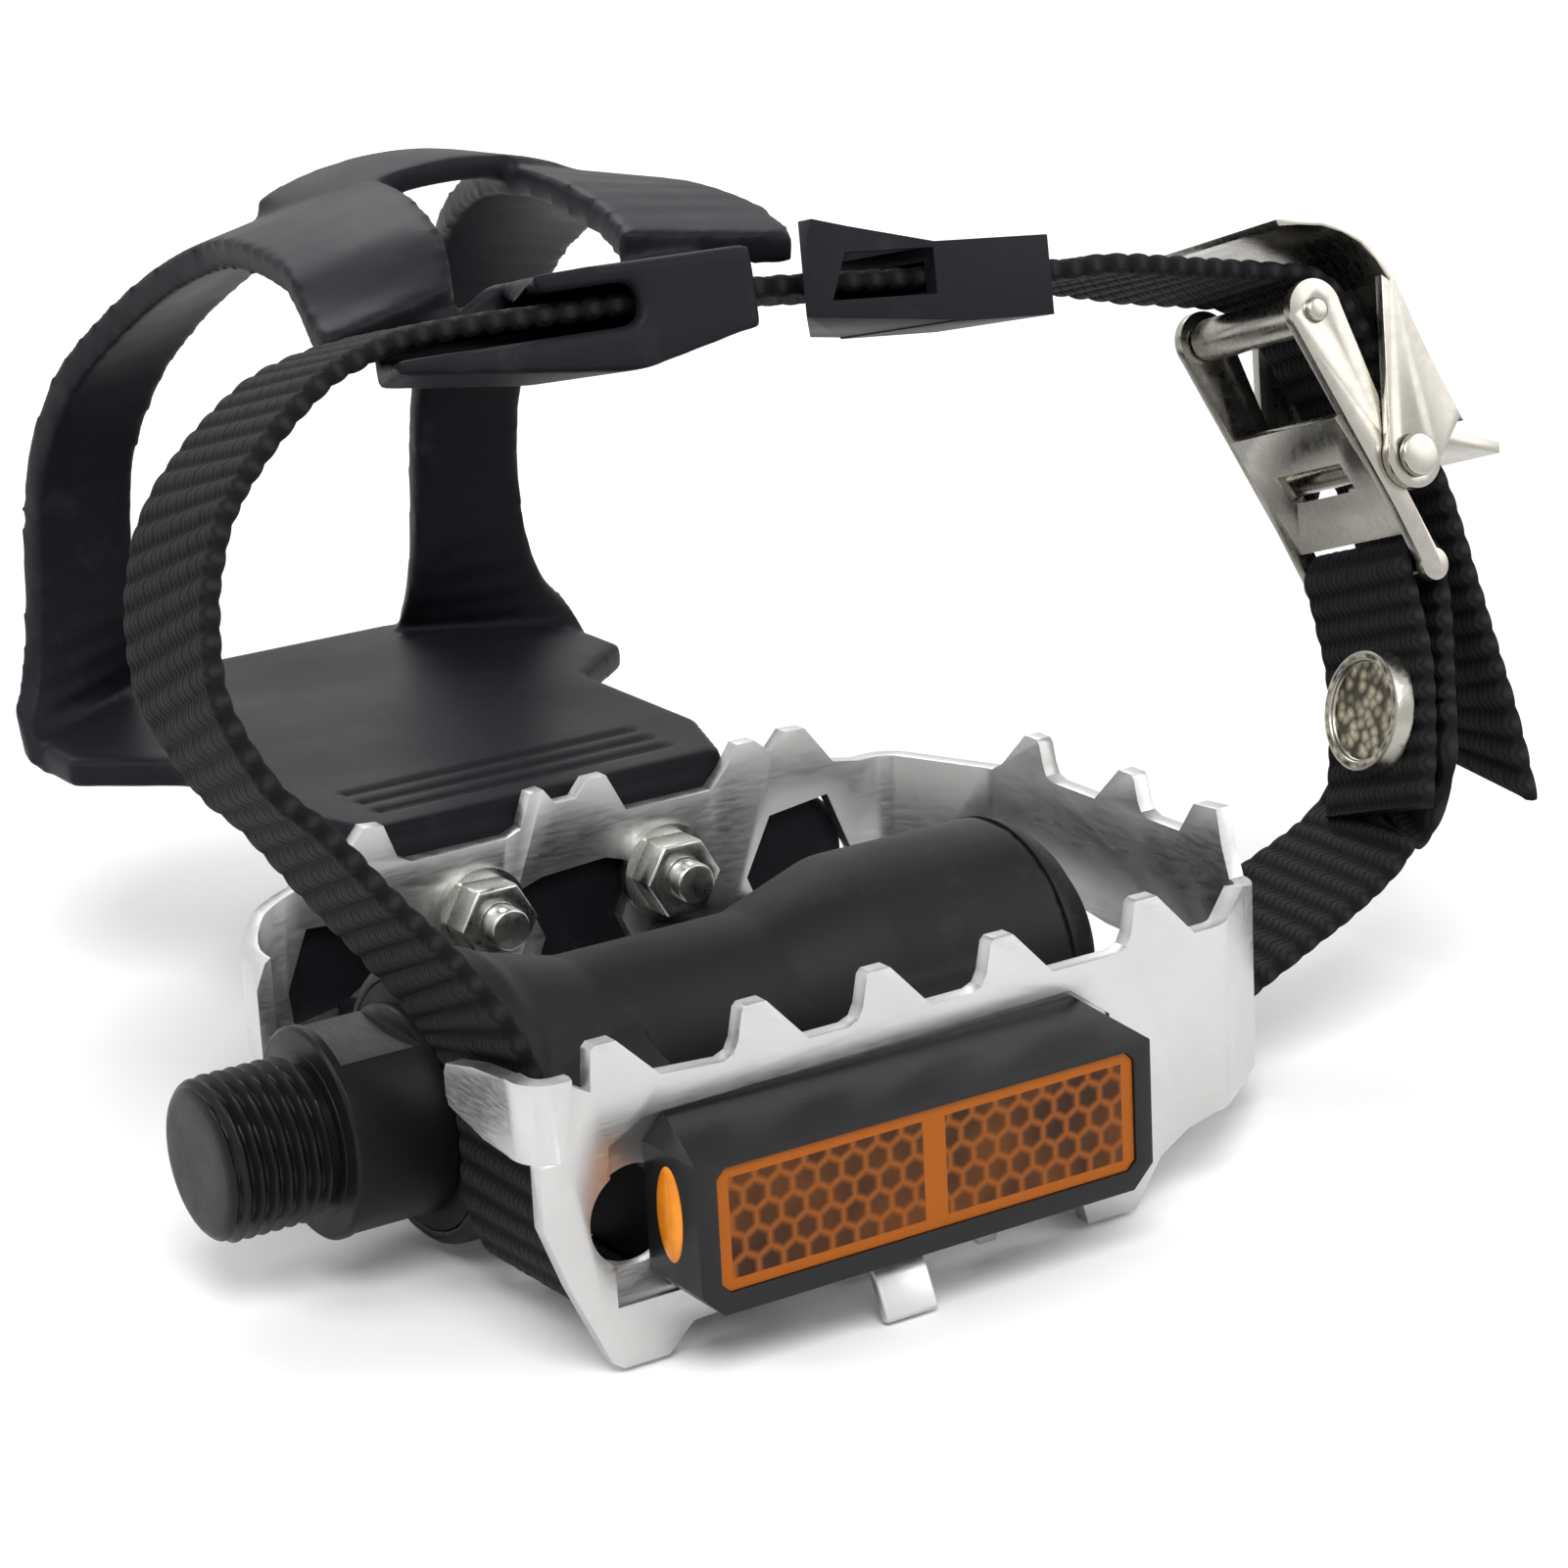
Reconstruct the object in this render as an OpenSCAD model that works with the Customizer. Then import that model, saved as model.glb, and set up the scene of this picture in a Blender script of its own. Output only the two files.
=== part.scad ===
// Mountain bike pedal with a toe clip and a strap.
// Frame: X runs along the spindle from the crank to the outer end, Y points to the toe, Z is up.
// The origin is on the spindle axis, at the shoulder face that seats against the crank.
// All lengths are in millimetres.

/* [Spindle] */
// crest radius of the crank thread
thread_r = 7.14; // [7.10:0.01:7.18]
// length of the crank thread, from the shoulder to the end face
thread_len = 10.3; // [9.5:0.1:12]
// distance across the wrench flats
flat_gap = 15; // [14:0.5:16]
// radius of the block that carries the flats
block_r = 9.25; // [9:0.05:9.6]
// radius of every bearing ball
ball_r = 1.5875; // [1.5:0.0125:1.6]

/* [Pedal body] */
// radius of the collar at the crank end
collar_r = 12.4; // [12.2:0.1:13]
// radius of the slim middle of the barrel
waist_r = 9.5; // [9.2:0.1:10.5]
// radius of the outer end of the barrel
outer_r = 12.5; // [12:0.1:12.8]
// height of the flat underside below the axis
belly_z = 10.2; // [10:0.1:10.6]

/* [Cage] */
// half depth of the cage, to the outer faces of its long walls
cage_half = 32; // [31.5:0.1:32.5]
// distance from the shoulder to the outer end of the cage
cage_end = 86; // [85.5:0.1:87]
// thickness of the strip
sheet = 1.6; // [1.4:0.1:1.8]
// height of the plain top edge between the teeth
edge_z = 10.5; // [10.2:0.1:11]
// height of the tooth tips
tip_z = 14.7; // [14:0.1:15]
// depth of the feet below the axis
foot_z = 13.1; // [12.9:0.1:13.5]

/* [Toe clip] */
// height of the top face of the platform
deck_z = 13.6; // [13.2:0.1:14]
// thickness of the moulded walls
clip_wall = 3; // [2.8:0.1:3.2]
// distance from the axis to the front edge of the platform
deck_front = 97; // [95:0.5:99]

/* [Strap] */
// width of the webbing
strap_w = 15; // [14:0.5:15.5]
// thickness of the webbing
strap_t = 1.9; // [1.7:0.05:2]

/* [Reflectors] */
// width of the rear reflector housing
lamp_w = 44.4; // [43:0.2:45]
// height of the rear reflector housing
lamp_h = 15; // [14:0.2:15.4]
// depth of the rear reflector housing
lamp_d = 8; // [7:0.5:9]

/* [Hidden] */
$fn = 48;
eps = 0.01;
// radial clearance of balls in their grooves
ball_gap = 0.03;
// radial clearance of turning fits
run_gap = 0.05;
// clearance between soft webbing and the hard parts around it
soft_gap = 0.35;
cage_in = cage_half - sheet;
clip_mid = 43.3;
deck_low = deck_z - clip_wall;

// inner bearing
in_ball_x = 13.8;
in_pitch_r = 8.35;
in_cup_r = 10.9;
in_cup_from = 11.6;
in_cup_to = 16;
in_count = 12;
shoulder_r = 7.6;
// outer bearing
out_ball_x = 67;
out_pitch_r = 6.6;
out_cup_r = 9.8;
out_cup_from = 65;
out_cup_to = 69.2;
out_count = 9;
body_end = 71;
stud_r = 4;

// arms of the body and their screws
arm_inner = [18, 28];
arm_outer = [52, 64];
arm_low = 9.2;
screw_x = [23, 58];
screw_z = -4.6;
screw_r = 2.2;
screw_head_r = 4.2;
// depth of the rear reflector's seat in the cage
seat_d = 0.5;

// toe clip bolts
bolt_x = [33.5, 53.5];
bolt_z = 4;
bolt_r = 2;
washer_t = 1;
nut_t = 3.2;

// plan corners of the strip, with the outer radius of each bend
tongue_x = 4;
bend_pts = [[tongue_x, -18], [tongue_x, -cage_half], [cage_end - 13.5, -cage_half],
    [cage_end, -19], [cage_end, 20], [cage_end - 5.5, cage_half], [7, cage_half], [7, cage_half - 9]];
bend_r = [0, 3, 4, 4, 4, 4, 8, 0];
bend_steps = 8;
// how far the blocks that cut the strip reach past its faces, and past the ends of a bend
block_room = 1.2;
lap = 0.3;
bend_low = [0, 5.7, -6.4, -8.8];
bend_high = [0, 12.4, 10.5, 8.2];

rear_teeth = [63, 48.1, 35.8, 23.8, 9.8];
end_teeth = [11.3, -3.5];

// frame of the buckle: roller axis, and its lean towards the toe
buckle_at = [104.2, 2.2, 52.8];
buckle_lean = 18;
roller_r = 2;
buckle_half = strap_w / 2 + 0.6;
arm_t = 1;
bar_at = [7.4, -24.9];
bar_r = 0.9;
pivot_at = [6.8, -14.8];
pivot_r = 1.3;

// frame of the strap where it runs through the guide and the slider
guide_at = [28, 4.9, 64.4];
guide_lean = 12.7;
slider_at = [63, 3.88, 62.47];
slider_drop = 5;
button_at = [2.5, -37.3];
button_r = 6.3;
button_turn = 14.9;

function unit(v) = v / norm(v);
function left(v) = [-v[1], v[0]];
function turn(i) = let (a = unit(bend_pts[i] - bend_pts[i - 1]), b = unit(bend_pts[i + 1] - bend_pts[i]))
    acos(a[0] * b[0] + a[1] * b[1]);
function tangent(i) = bend_r[i] == 0 ? 0 : bend_r[i] * tan(turn(i) / 2);
// where the outline of a wall ends, a little inside the bend
function reach(i) = tangent(i) - lap / 2;
function wall_len(i) = norm(bend_pts[i + 1] - bend_pts[i]);
function wall_dir(i) = unit(bend_pts[i + 1] - bend_pts[i]);
function bend_center(i) = bend_pts[i] - wall_dir(i - 1) * tangent(i) + left(wall_dir(i - 1)) * bend_r[i];
function bend_point(i, r, k) = let (d = left(wall_dir(i - 1)), a = atan2(-d[1], -d[0]) + turn(i) * k / bend_steps)
    bend_center(i) + r * [cos(a), sin(a)];

// one cutting tooth with its steep side at l, listed from right to left
function tooth(l, low, high) = [[l + 6.2, low], [l + 2.3, high], [l + 0.4, high], [l, high - 0.4],
    [l - 0.5, low + 1.4], [l - 1, low + 0.4], [l - 2, low]];

// a solid of revolution about the spindle axis, from [x, r] points
module lathe(points) {
    rotate([0, 90, 0])
        rotate_extrude($fn = 96)
            polygon([for (p = points) [p[1], p[0]]]);
}

// a cylinder along X
module rod_x(r, from, to) {
    translate([from, 0, 0])
        rotate([0, 90, 0])
            cylinder(r = r, h = to - from, $fn = 96);
}

// a cylinder along Y
module rod_y(r, x, z, from, to) {
    translate([x, from, z])
        rotate([-90, 0, 0])
            cylinder(r = r, h = to - from);
}

// a plate drawn in X and Z that fills Y from one value to another
module slab_y(from, to) {
    translate([0, to, 0])
        rotate([90, 0, 0])
            linear_extrude(height = to - from)
                children();
}

module ball_groove(x, pitch) {
    rotate([0, 90, 0])
        rotate_extrude($fn = 96)
            translate([pitch, x])
                circle(r = ball_r + ball_gap);
}

module ball_set(x, pitch, count) {
    for (i = [0 : count - 1])
        rotate([i * 360 / count, 0, 0])
            translate([x, 0, pitch])
                sphere(r = ball_r, $fn = 24);
}

// flat wall i of the strip, from an outline drawn along the wall and up
module strip_wall(i) {
    d = wall_dir(i);
    translate([bend_pts[i][0], bend_pts[i][1], 0])
        rotate([0, 0, atan2(d[1], d[0])])
            slab_y(0, sheet)
                children();
}

// block that takes in wall i with room on both sides, with the same outline
module wall_block(i) {
    d = wall_dir(i);
    translate([bend_pts[i][0], bend_pts[i][1], 0])
        rotate([0, 0, atan2(d[1], d[0])])
            slab_y(-block_room, sheet + block_room)
                children();
}

// block that takes in bend i and runs a little over the walls beside it
module bend_block(i) {
    c = bend_center(i);
    v = bend_pts[i];
    before = v - wall_dir(i - 1) * (tangent(i) + lap);
    after = v + wall_dir(i) * (tangent(i) + lap);
    translate([0, 0, bend_low[i]])
        linear_extrude(height = bend_high[i] - bend_low[i])
            polygon([c + 0.3 * (c - v), before + 0.3 * (c - v), before + 0.6 * (before - c), v + 0.6 * (v - c),
                after + 0.6 * (after - c), after + 0.3 * (c - v)]);
}

// the whole strip in plan: outer side first, then back along the inner side
strip_plan = concat(
    [bend_pts[0] - wall_dir(0)],
    [for (i = [1 : 6]) for (k = [0 : bend_steps]) bend_point(i, bend_r[i], k)],
    [bend_pts[7], bend_pts[7] + sheet * left(wall_dir(6))],
    [for (i = [6 : -1 : 1]) for (k = [bend_steps : -1 : 0]) bend_point(i, bend_r[i] - sheet, k)],
    [bend_pts[0] - wall_dir(0) + sheet * left(wall_dir(0))]);

module rear_outline() {
    x0 = tongue_x;
    polygon(concat(
        [[0.6, 0.4], [2.7, -5.2], [6, -12.4], [7, -foot_z], [11.2, -foot_z], [13.7, -10.8], [30, -10]],
        [[41, -10], [41.8, -11.9], [43.5, -11.9], [44.3, -10], [52.4, -10.3], [53.2, -foot_z]],
        [[58.2, -foot_z], [61.1, -8.9], [64.1, -7.1]],
        [[wall_len(1) - reach(2), -6.4], [wall_len(1) - reach(2), edge_z]],
        [for (l = rear_teeth) for (p = tooth(l - x0, l < 20 ? edge_z + 0.4 : edge_z, tip_z))
            [max(p[0], tangent(1) + 2.6), p[1]]],
        [[tangent(1), 12.4], [tangent(1), 5.7], [0.6, 5.7]]));
}

module end_outline() {
    // measured from the plan corner at the rear, so y = s - 19
    s0 = 19;
    far = wall_len(3) - reach(4);
    polygon(concat(
        [[reach(3), -8.8], [s0 - 16.9, -8.8], [s0 - 16.9, -2.8], [s0 - 15.4, -1.2], [s0 + 1.3, -1]],
        [[s0 + 12.3, 0.5], [far, 4], [far, 10]],
        [for (l = end_teeth) for (p = tooth(l + s0, edge_z + 0.5, tip_z)) [min(p[0], far - 0.4), p[1]]],
        [[s0 - 10.2, edge_z + 0.5], [s0 - 12.4, tip_z - 0.6], [s0 - 15.7, tip_z - 0.3]],
        [[s0 - 16.4, edge_z + 0.6], [reach(3), 8.2]]));
}

module chamfer_outline() {
    far = wall_len(2) - reach(3);
    polygon([[reach(2), -6.4], [9, -7.8], [far, -8.8], [far, 8.2], [11, 10.2], [reach(2), edge_z]]);
}

// block that takes in the whole corner between the end wall and the front wall, drawn in Y and Z
module corner_block() {
    translate([cage_end - 8.4, 0, 0])
        rotate([90, 0, 90])
            linear_extrude(height = 10)
                polygon([[18.6, 4], [20, 4], [24.3, 1], [cage_half - 2.2, -6], [cage_half + block_room + 0.3, -6],
                    [cage_half + block_room + 0.3, 10], [18.6, 10]]);
}

// the front wall is drawn in X and Z
module front_outline() {
    polygon([[15, -8], [24, -9.6], [29, -9.6], [30, -foot_z], [35, -foot_z], [37, -9.8], [53, -9.8],
        [55, -foot_z], [60, -foot_z], [62, -9.6], [70, -8.4], [cage_end - 5.5 - reach(5), -6],
        [cage_end - 5.5 - reach(5), 10], [76.4, 10], [73.4, edge_z], [70.3, tip_z - 0.2], [68, tip_z - 0.1],
        [66.4, 12.9], [64.6, tip_z - 0.3], [62.6, tip_z - 0.3], [61, edge_z + 1.6], [59.4, edge_z],
        [50, edge_z], [48, tip_z - 0.3], [46, tip_z - 0.3], [44.6, 12.8], [42.4, 12.8], [41.2, tip_z - 0.3],
        [39.8, tip_z - 0.4], [38.6, edge_z + 0.6], [37, edge_z], [27, edge_z], [25.6, edge_z + 0.7],
        [24.4, tip_z - 0.2], [22.4, tip_z], [19.8, edge_z + 1.2], [15, edge_z - 0.1]]);
}

module wave_window() {
    polygon([[38, 5.2], [40.4, 6], [47.4, 6.4], [50.6, 5.4], [50, 2.6], [48.8, 0], [50, -2.6], [50.6, -5.4],
        [47.4, -6.4], [40.4, -6], [38, -5.2], [39.3, -2.6], [40.4, 0], [39.3, 2.6]]);
}

module kite_windows() {
    polygon([[62.9, 0.9], [65.8, 6.6], [72.5, 7.4], [75.2, 0.8], [64.3, -2.6]]);
    polygon([[13.4, 0.9], [15.8, 6.5], [19.5, 6.2], [25, -1.4], [13.8, -3.1]]);
}

// the two slots for the toe clip bolts
module bolt_slots() {
    for (x = bolt_x)
        slab_y(cage_in - 1, cage_half + 1)
            translate([x - bolt_r - 0.2, bolt_z - 4])
                square([2 * bolt_r + 0.4, 7]);
}

module cage() {
    color([0.78, 0.78, 0.77])
    difference() {
        union() {
            intersection() {
                translate([0, 0, -foot_z - 1])
                    linear_extrude(height = foot_z + tip_z + 2)
                        polygon(strip_plan);
                union() {
                    // tongue that keeps the strap on the crank side
                    wall_block(0)
                        polygon([[0.4, 7.2], [6, 6], [wall_len(0) - reach(1), 5.7],
                            [wall_len(0) - reach(1), 12.4], [5, 11.8], [0.4, 10.8], [0, 10], [0, 8]]);
                    wall_block(1)
                        intersection() {
                            rear_outline();
                            translate([reach(1), -20])
                                square([80, 40]);
                        }
                    wall_block(2)
                        chamfer_outline();
                    wall_block(3)
                        end_outline();
                    corner_block();
                    slab_y(cage_in - block_room, cage_half + block_room)
                        front_outline();
                    slab_y(0, cage_half + block_room)
                        polygon([[15.4, -8], [12, -7.6], [9, -5.4], [6.5, -2], [6.5, 3.5], [8, 7], [11, 9.2],
                            [15.4, edge_z - 0.1]]);
                    for (i = [1 : 3])
                        bend_block(i);
                }
            }
            // the flat foot at the crank side goes on below the bend
            strip_wall(1)
                intersection() {
                    rear_outline();
                    translate([0, -20])
                        square([tangent(1) + 1, 25.7]);
                }
            // the tab bent out under the reflector
            translate([0, -cage_half, -9.8])
                rotate([45, 0, 0])
                    translate([34.3, 0, -4.4])
                        cube([5.4, sheet, 4.8]);
        }
        // shallow seat of the rear reflector
        slab_y(-cage_half - 1, -cage_half + seat_d)
            polygon([[10.8, lamp_z - 0.4], [lamp_x + lamp_w + 1.4, lamp_z - 0.4],
                [lamp_x + lamp_w + 1.4, lamp_z + lamp_h - 2.2], [lamp_x + lamp_w - 2.6, lamp_z + lamp_h + 0.8],
                [lamp_x, lamp_z + lamp_h + 0.2], [10.8, lamp_z + lamp_h - 1.6]]);
        // round window beside the reflector
        rod_y(4.3, 13, -0.4, -cage_half - 1, -cage_in + 1);
        for (x = [33, 46])
            rod_y(2.2, x, 0, -cage_half - 1, -cage_in + 1);
        slab_y(cage_in - 1, cage_half + 1)
            wave_window();
        slab_y(cage_in - 1, cage_half + 1)
            kite_windows();
        bolt_slots();
        for (x = screw_x)
            for (s = [-1, 1])
                screw_hole(x, s);
    }
}

// how deep the outer face lies under the screws of side s, for the rear wall has the reflector's seat
function sunk(s) = s < 0 ? seat_d : 0;

// countersunk hole through a long wall, s is the side
module screw_hole(x, s) {
    translate([x, s * (cage_half - sunk(s) + eps), screw_z])
        rotate([s * 90, 0, 0])
            union() {
                cylinder(r1 = screw_head_r + 0.05, r2 = screw_r + 0.05, h = sheet - sunk(s));
                cylinder(r = screw_r + 0.05, h = sheet + 1);
            }
}

module cage_screws() {
    color([0.55, 0.56, 0.58])
    for (x = screw_x)
        for (s = [-1, 1])
            translate([x, s * (cage_half - sunk(s)), screw_z])
                rotate([s * 90, 0, 0])
                    difference() {
                        union() {
                            cylinder(r1 = screw_head_r - 0.3, r2 = screw_r, h = sheet - sunk(s) - 0.2);
                            cylinder(r = screw_r, h = 12);
                        }
                        translate([0, 0, -eps])
                            cylinder(r = 1.3, h = 0.8, $fn = 6);
                    }
}

// the arms carry the long walls of the cage
module body_arm(span) {
    translate([span[0], 0, 0])
        rotate([90, 0, 90])
            linear_extrude(height = span[1] - span[0])
                polygon([[-cage_in, -arm_low], [cage_in, -arm_low], [cage_in, -1], [22, 0.6], [9, 5],
                    [-9, 5], [-22, 0.6], [-cage_in, -1]]);
}

module pedal_body() {
    color([0.09, 0.09, 0.1])
    difference() {
        union() {
            lathe([[10, 0], [10, collar_r - 0.6], [10.6, collar_r], [17, collar_r], [18.2, collar_r - 0.8],
                [26, waist_r], [44, waist_r], [54, outer_r], [body_end, outer_r], [body_end, 0]]);
            body_arm(arm_inner);
            body_arm(arm_outer);
        }
        // flat underside, over which the strap passes
        translate([43, -14, -belly_z - 6])
            cube([30, 28, 6]);
        rod_x(7.2, 9, 72);
        // room for the shoulder of the spindle
        rod_x(shoulder_r + 0.5, 9, in_cup_to + 2);
        rod_x(in_cup_r, 9, in_cup_to);
        rod_x(out_cup_r, out_cup_from, 72);
        for (x = screw_x)
            for (s = [-1, 1])
                translate([x, s * (cage_in + 1), screw_z])
                    rotate([s * 90, 0, 0])
                        cylinder(r = screw_r + 0.03, h = 13);
        // weight-saving pockets in the top of the outer arms
        for (s = [-1, 1])
            translate([arm_outer[0] + 3, s > 0 ? 16 : -26, -4.5])
                cube([3, 10, 12]);
    }
}

module spindle() {
    color([0.3, 0.3, 0.31])
    difference() {
        lathe([[-thread_len, 0], [-thread_len, thread_r - 1], [1 - thread_len, thread_r], [0, thread_r],
            [0, block_r - 0.3], [0.3, block_r], [9.3, block_r], [9.6, block_r - 0.3],
            [9.6, 7.9], [11.6, 7.9], [11.6, shoulder_r], [16.2, shoulder_r], [17.6, 6], [60, 5], [64.6, 5],
            [64.6, stud_r], [75.4, stud_r], [75.8, stud_r - 0.4], [75.8, 0]]);
        for (s = [-1, 1])
            translate([1, -12, s > 0 ? flat_gap / 2 : -flat_gap / 2 - 5])
                cube([7.4, 24, 5]);
        ball_groove(in_ball_x, in_pitch_r);
    }
}

module inner_seal() {
    color([0.06, 0.06, 0.06])
    difference() {
        rod_x(in_cup_r, 10.1, in_cup_from);
        rod_x(7.9 + run_gap, 9, 12);
    }
}

module inner_cup() {
    color([0.6, 0.6, 0.6])
    difference() {
        rod_x(in_cup_r, in_cup_from, in_cup_to);
        rod_x(in_pitch_r + 0.75, in_cup_from - 1, in_cup_to + 1);
        ball_groove(in_ball_x, in_pitch_r);
    }
}

module outer_cup() {
    color([0.6, 0.6, 0.6])
    difference() {
        rod_x(out_cup_r, out_cup_from, out_cup_to);
        rod_x(out_pitch_r + 0.7, out_cup_from - 1, out_cup_to + 1);
        ball_groove(out_ball_x, out_pitch_r);
    }
}

module inner_balls() {
    color([0.7, 0.7, 0.72])
    ball_set(in_ball_x, in_pitch_r, in_count);
}

module outer_balls() {
    color([0.7, 0.7, 0.72])
    ball_set(out_ball_x, out_pitch_r, out_count);
}

module cone() {
    color([0.5, 0.5, 0.5])
    difference() {
        rod_x(out_pitch_r - 0.7, 64.9, 69.5);
        rod_x(stud_r, 64, 70);
        ball_groove(out_ball_x, out_pitch_r);
    }
}

module lock_washer() {
    color([0.6, 0.6, 0.58])
    difference() {
        rod_x(6, 69.5, 70.5);
        rod_x(stud_r, 69, 71);
    }
}

module lock_nut() {
    color([0.5, 0.5, 0.5])
    difference() {
        translate([70.5, 0, 0])
            rotate([0, 90, 0])
                cylinder(r = 6.6, h = 3.8, $fn = 6);
        rod_x(stud_r, 70, 75);
    }
}

module dust_cap() {
    color([0.08, 0.08, 0.09])
    difference() {
        lathe([[69.6, 0], [69.6, out_cup_r], [body_end, out_cup_r], [body_end, outer_r], [72.4, 12],
            [74.4, 10.3], [76.3, 7.8], [77.9, 4.6], [78.8, 1.6], [79, 0]]);
        lathe([[69, 0], [69, 8.3], [72.6, 8.3], [74, 7.6], [76, 5.8], [77, 3.4], [77.4, 0]]);
        translate([body_end, -14, -belly_z - 6])
            cube([3, 28, 6]);
    }
}

// outline of a reflector housing, with cut corners
module lamp_outline(x0, z0, w, h, c) {
    polygon([[x0 + c, z0], [x0 + w - c, z0], [x0 + w, z0 + c], [x0 + w, z0 + h - c], [x0 + w - c, z0 + h],
        [x0 + c, z0 + h], [x0, z0 + h - c], [x0, z0 + c]]);
}

lamp_x = 14.2;
lamp_z = -7.4;
lamp_back = -cage_half + seat_d;
lamp_front = lamp_back - lamp_d;

module rear_reflector_housing() {
    color([0.07, 0.07, 0.07])
    difference() {
        union() {
            slab_y(lamp_front, lamp_back)
                lamp_outline(lamp_x, lamp_z, lamp_w, lamp_h, 2);
            for (x = [33, 46]) {
                rod_y(2.1, x, 0, lamp_back - 1, -cage_in);
                translate([x, -cage_in, 0])
                    rotate([-90, 0, 0])
                        cylinder(r1 = 2.9, r2 = 1.6, h = 2.4);
            }
        }
        slab_y(lamp_front - 1, lamp_front + 2.6)
            lamp_outline(lamp_x + 1.9, lamp_z + 1.8, lamp_w - 3.6, 10.6, 0.8);
        // the top slopes down towards the front
        translate([0, lamp_front - 1, lamp_z + 12.8])
            rotate([14, 0, 0])
                translate([0, -1, 0])
                    cube([80, 14, 6]);
    }
}

module rear_reflector_lens() {
    color([0.85, 0.35, 0.05])
    slab_y(lamp_front + 0.3, lamp_front + 2.6)
        lamp_outline(lamp_x + 1.95, lamp_z + 1.85, lamp_w - 3.7, 10.5, 0.8);
}

module front_reflector_housing() {
    color([0.07, 0.07, 0.07])
    difference() {
        union() {
            slab_y(cage_half + 2.6, cage_half + 8.6)
                lamp_outline(25, -9.6, 36.6, 9.4, 1.4);
            for (x = [36, 50])
                rod_y(1.6, x, -5, cage_half + 0.6, cage_half + 3);
        }
        slab_y(cage_half + 6.6, cage_half + 9)
            lamp_outline(26.4, -8.2, 33.8, 6.6, 0.6);
    }
}

module front_reflector_lens() {
    color([0.9, 0.45, 0.1])
    slab_y(cage_half + 6.6, cage_half + 8.4)
        lamp_outline(26.45, -8.15, 33.7, 6.5, 0.6);
}

// Catmull-Rom point between b and c
function spline(a, b, c, d, t) = 0.5 * (2 * b + (c - a) * t + (2 * a - 5 * b + 4 * c - d) * t * t
    + (3 * b - a - 3 * c + d) * t * t * t);
function smooth(p, n) = [for (i = [0 : len(p) - 2]) for (k = [0 : n - 1])
    spline(p[max(i - 1, 0)], p[i], p[i + 1], p[min(i + 2, len(p) - 1)], k / n), p[len(p) - 1]];

// a band that follows stations of [centre, width direction], w wide and t thick
module band(c, w_dir, widths, t) {
    n = len(c);
    normal = [for (i = [0 : n - 1]) unit(cross(c[min(i + 1, n - 1)] - c[max(i - 1, 0)], w_dir[i]))];
    points = [for (i = [0 : n - 1]) for (k = [[-1, -1], [1, -1], [1, 1], [-1, 1]])
        c[i] + unit(w_dir[i]) * k[0] * widths[i] / 2 + normal[i] * k[1] * t / 2];
    faces = concat([[0, 1, 2, 3]],
        [for (i = [0 : n - 2]) for (k = [0 : 3])
            let (a = 4 * i + k, b = 4 * i + (k + 1) % 4)
            for (f = [[a, a + 4, b + 4], [a, b + 4, b]]) f],
        [[4 * n - 1, 4 * n - 2, 4 * n - 3, 4 * n - 4]]);
    polyhedron(points = points, faces = faces, convexity = 8);
}

// point of the buckle's own frame, in the frame of the part
function at_buckle(u, v, y = 0) = buckle_at + [u,
    v * sin(buckle_lean) + y * cos(buckle_lean), v * cos(buckle_lean) - y * sin(buckle_lean)];

// the strap from its free end, over the roller, round the loop and back to the buckle
strap_run = concat(
    [at_buckle(14.3, -46), at_buckle(14.1, -40), at_buckle(13.4, -33), at_buckle(12.7, -26),
        at_buckle(11.9, -19), at_buckle(10.2, -12), at_buckle(8, -6), at_buckle(5.4, -0.5),
        at_buckle(2.6, 2.9), at_buckle(-2, 4.2), at_buckle(-9, 5.6)],
    [[84.3, 3.6, 60.5], [79, 3.6, 61], [67, 3.75, 62.1], [54, 4.2, 63.3], [44.8, 4.6, 64], [37, 4.8, 64.2],
        [28, 4.9, 64.4], [20, 5, 64.6], [13, 4.9, 64.3], [7.1, 4.2, 63.1], [3, 3.2, 61.2], [-1, 2, 58.6],
        [-4.6, 0.7, 55.5], [-7.2, -0.9, 52.1], [-9.4, -3.3, 47], [-10.1, -6.2, 40.9], [-7.9, -9.1, 34.6],
        [-4.4, -11.1, 30.1], [-0.6, -13.8, 24.3], [3.2, -16.4, 18.8], [6, -18.6, 13.8], [7.9, -19.6, 8.5],
        [8.4, -19.9, 3], [8.4, -20, -3], [9.6, -20.2, -7.4], [12.6, -20.4, -9.9], [16, -20.4, -10.5],
        [28, -20.2, -10.5], [42, -19.4, -10.8], [50, -18.4, -11.5], [58, -16.6, -11.8], [66, -14.4, -11.8],
        [74, -12, -11.3], [80, -10.4, -8.3], [86, -8.8, -4.2], [92.5, -9, -0.9], [99.5, -8.9, 1.9],
        [104.8, -8.9, 4.4], [108.4, -9, 7.6]],
    [at_buckle(5.7, -42.6), at_buckle(7.2, -37.3), at_buckle(8.2, -33), at_buckle(9, -29)]);
strap_lean = concat([for (i = [0 : 10]) -buckle_lean],
    [-15, -13, -13, -13, -13, -13, -13, -13, -13, -12, -11, -10, -9, -9, -8, -8, -9, -11, -13, -16, -16,
        -10, -4, -2, -2, -2, -2, -2, -2, -2, -2, -2, 0, 2, 4, 5, 4, 0, -8],
    [-14, -17, -18, -18]);
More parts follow.
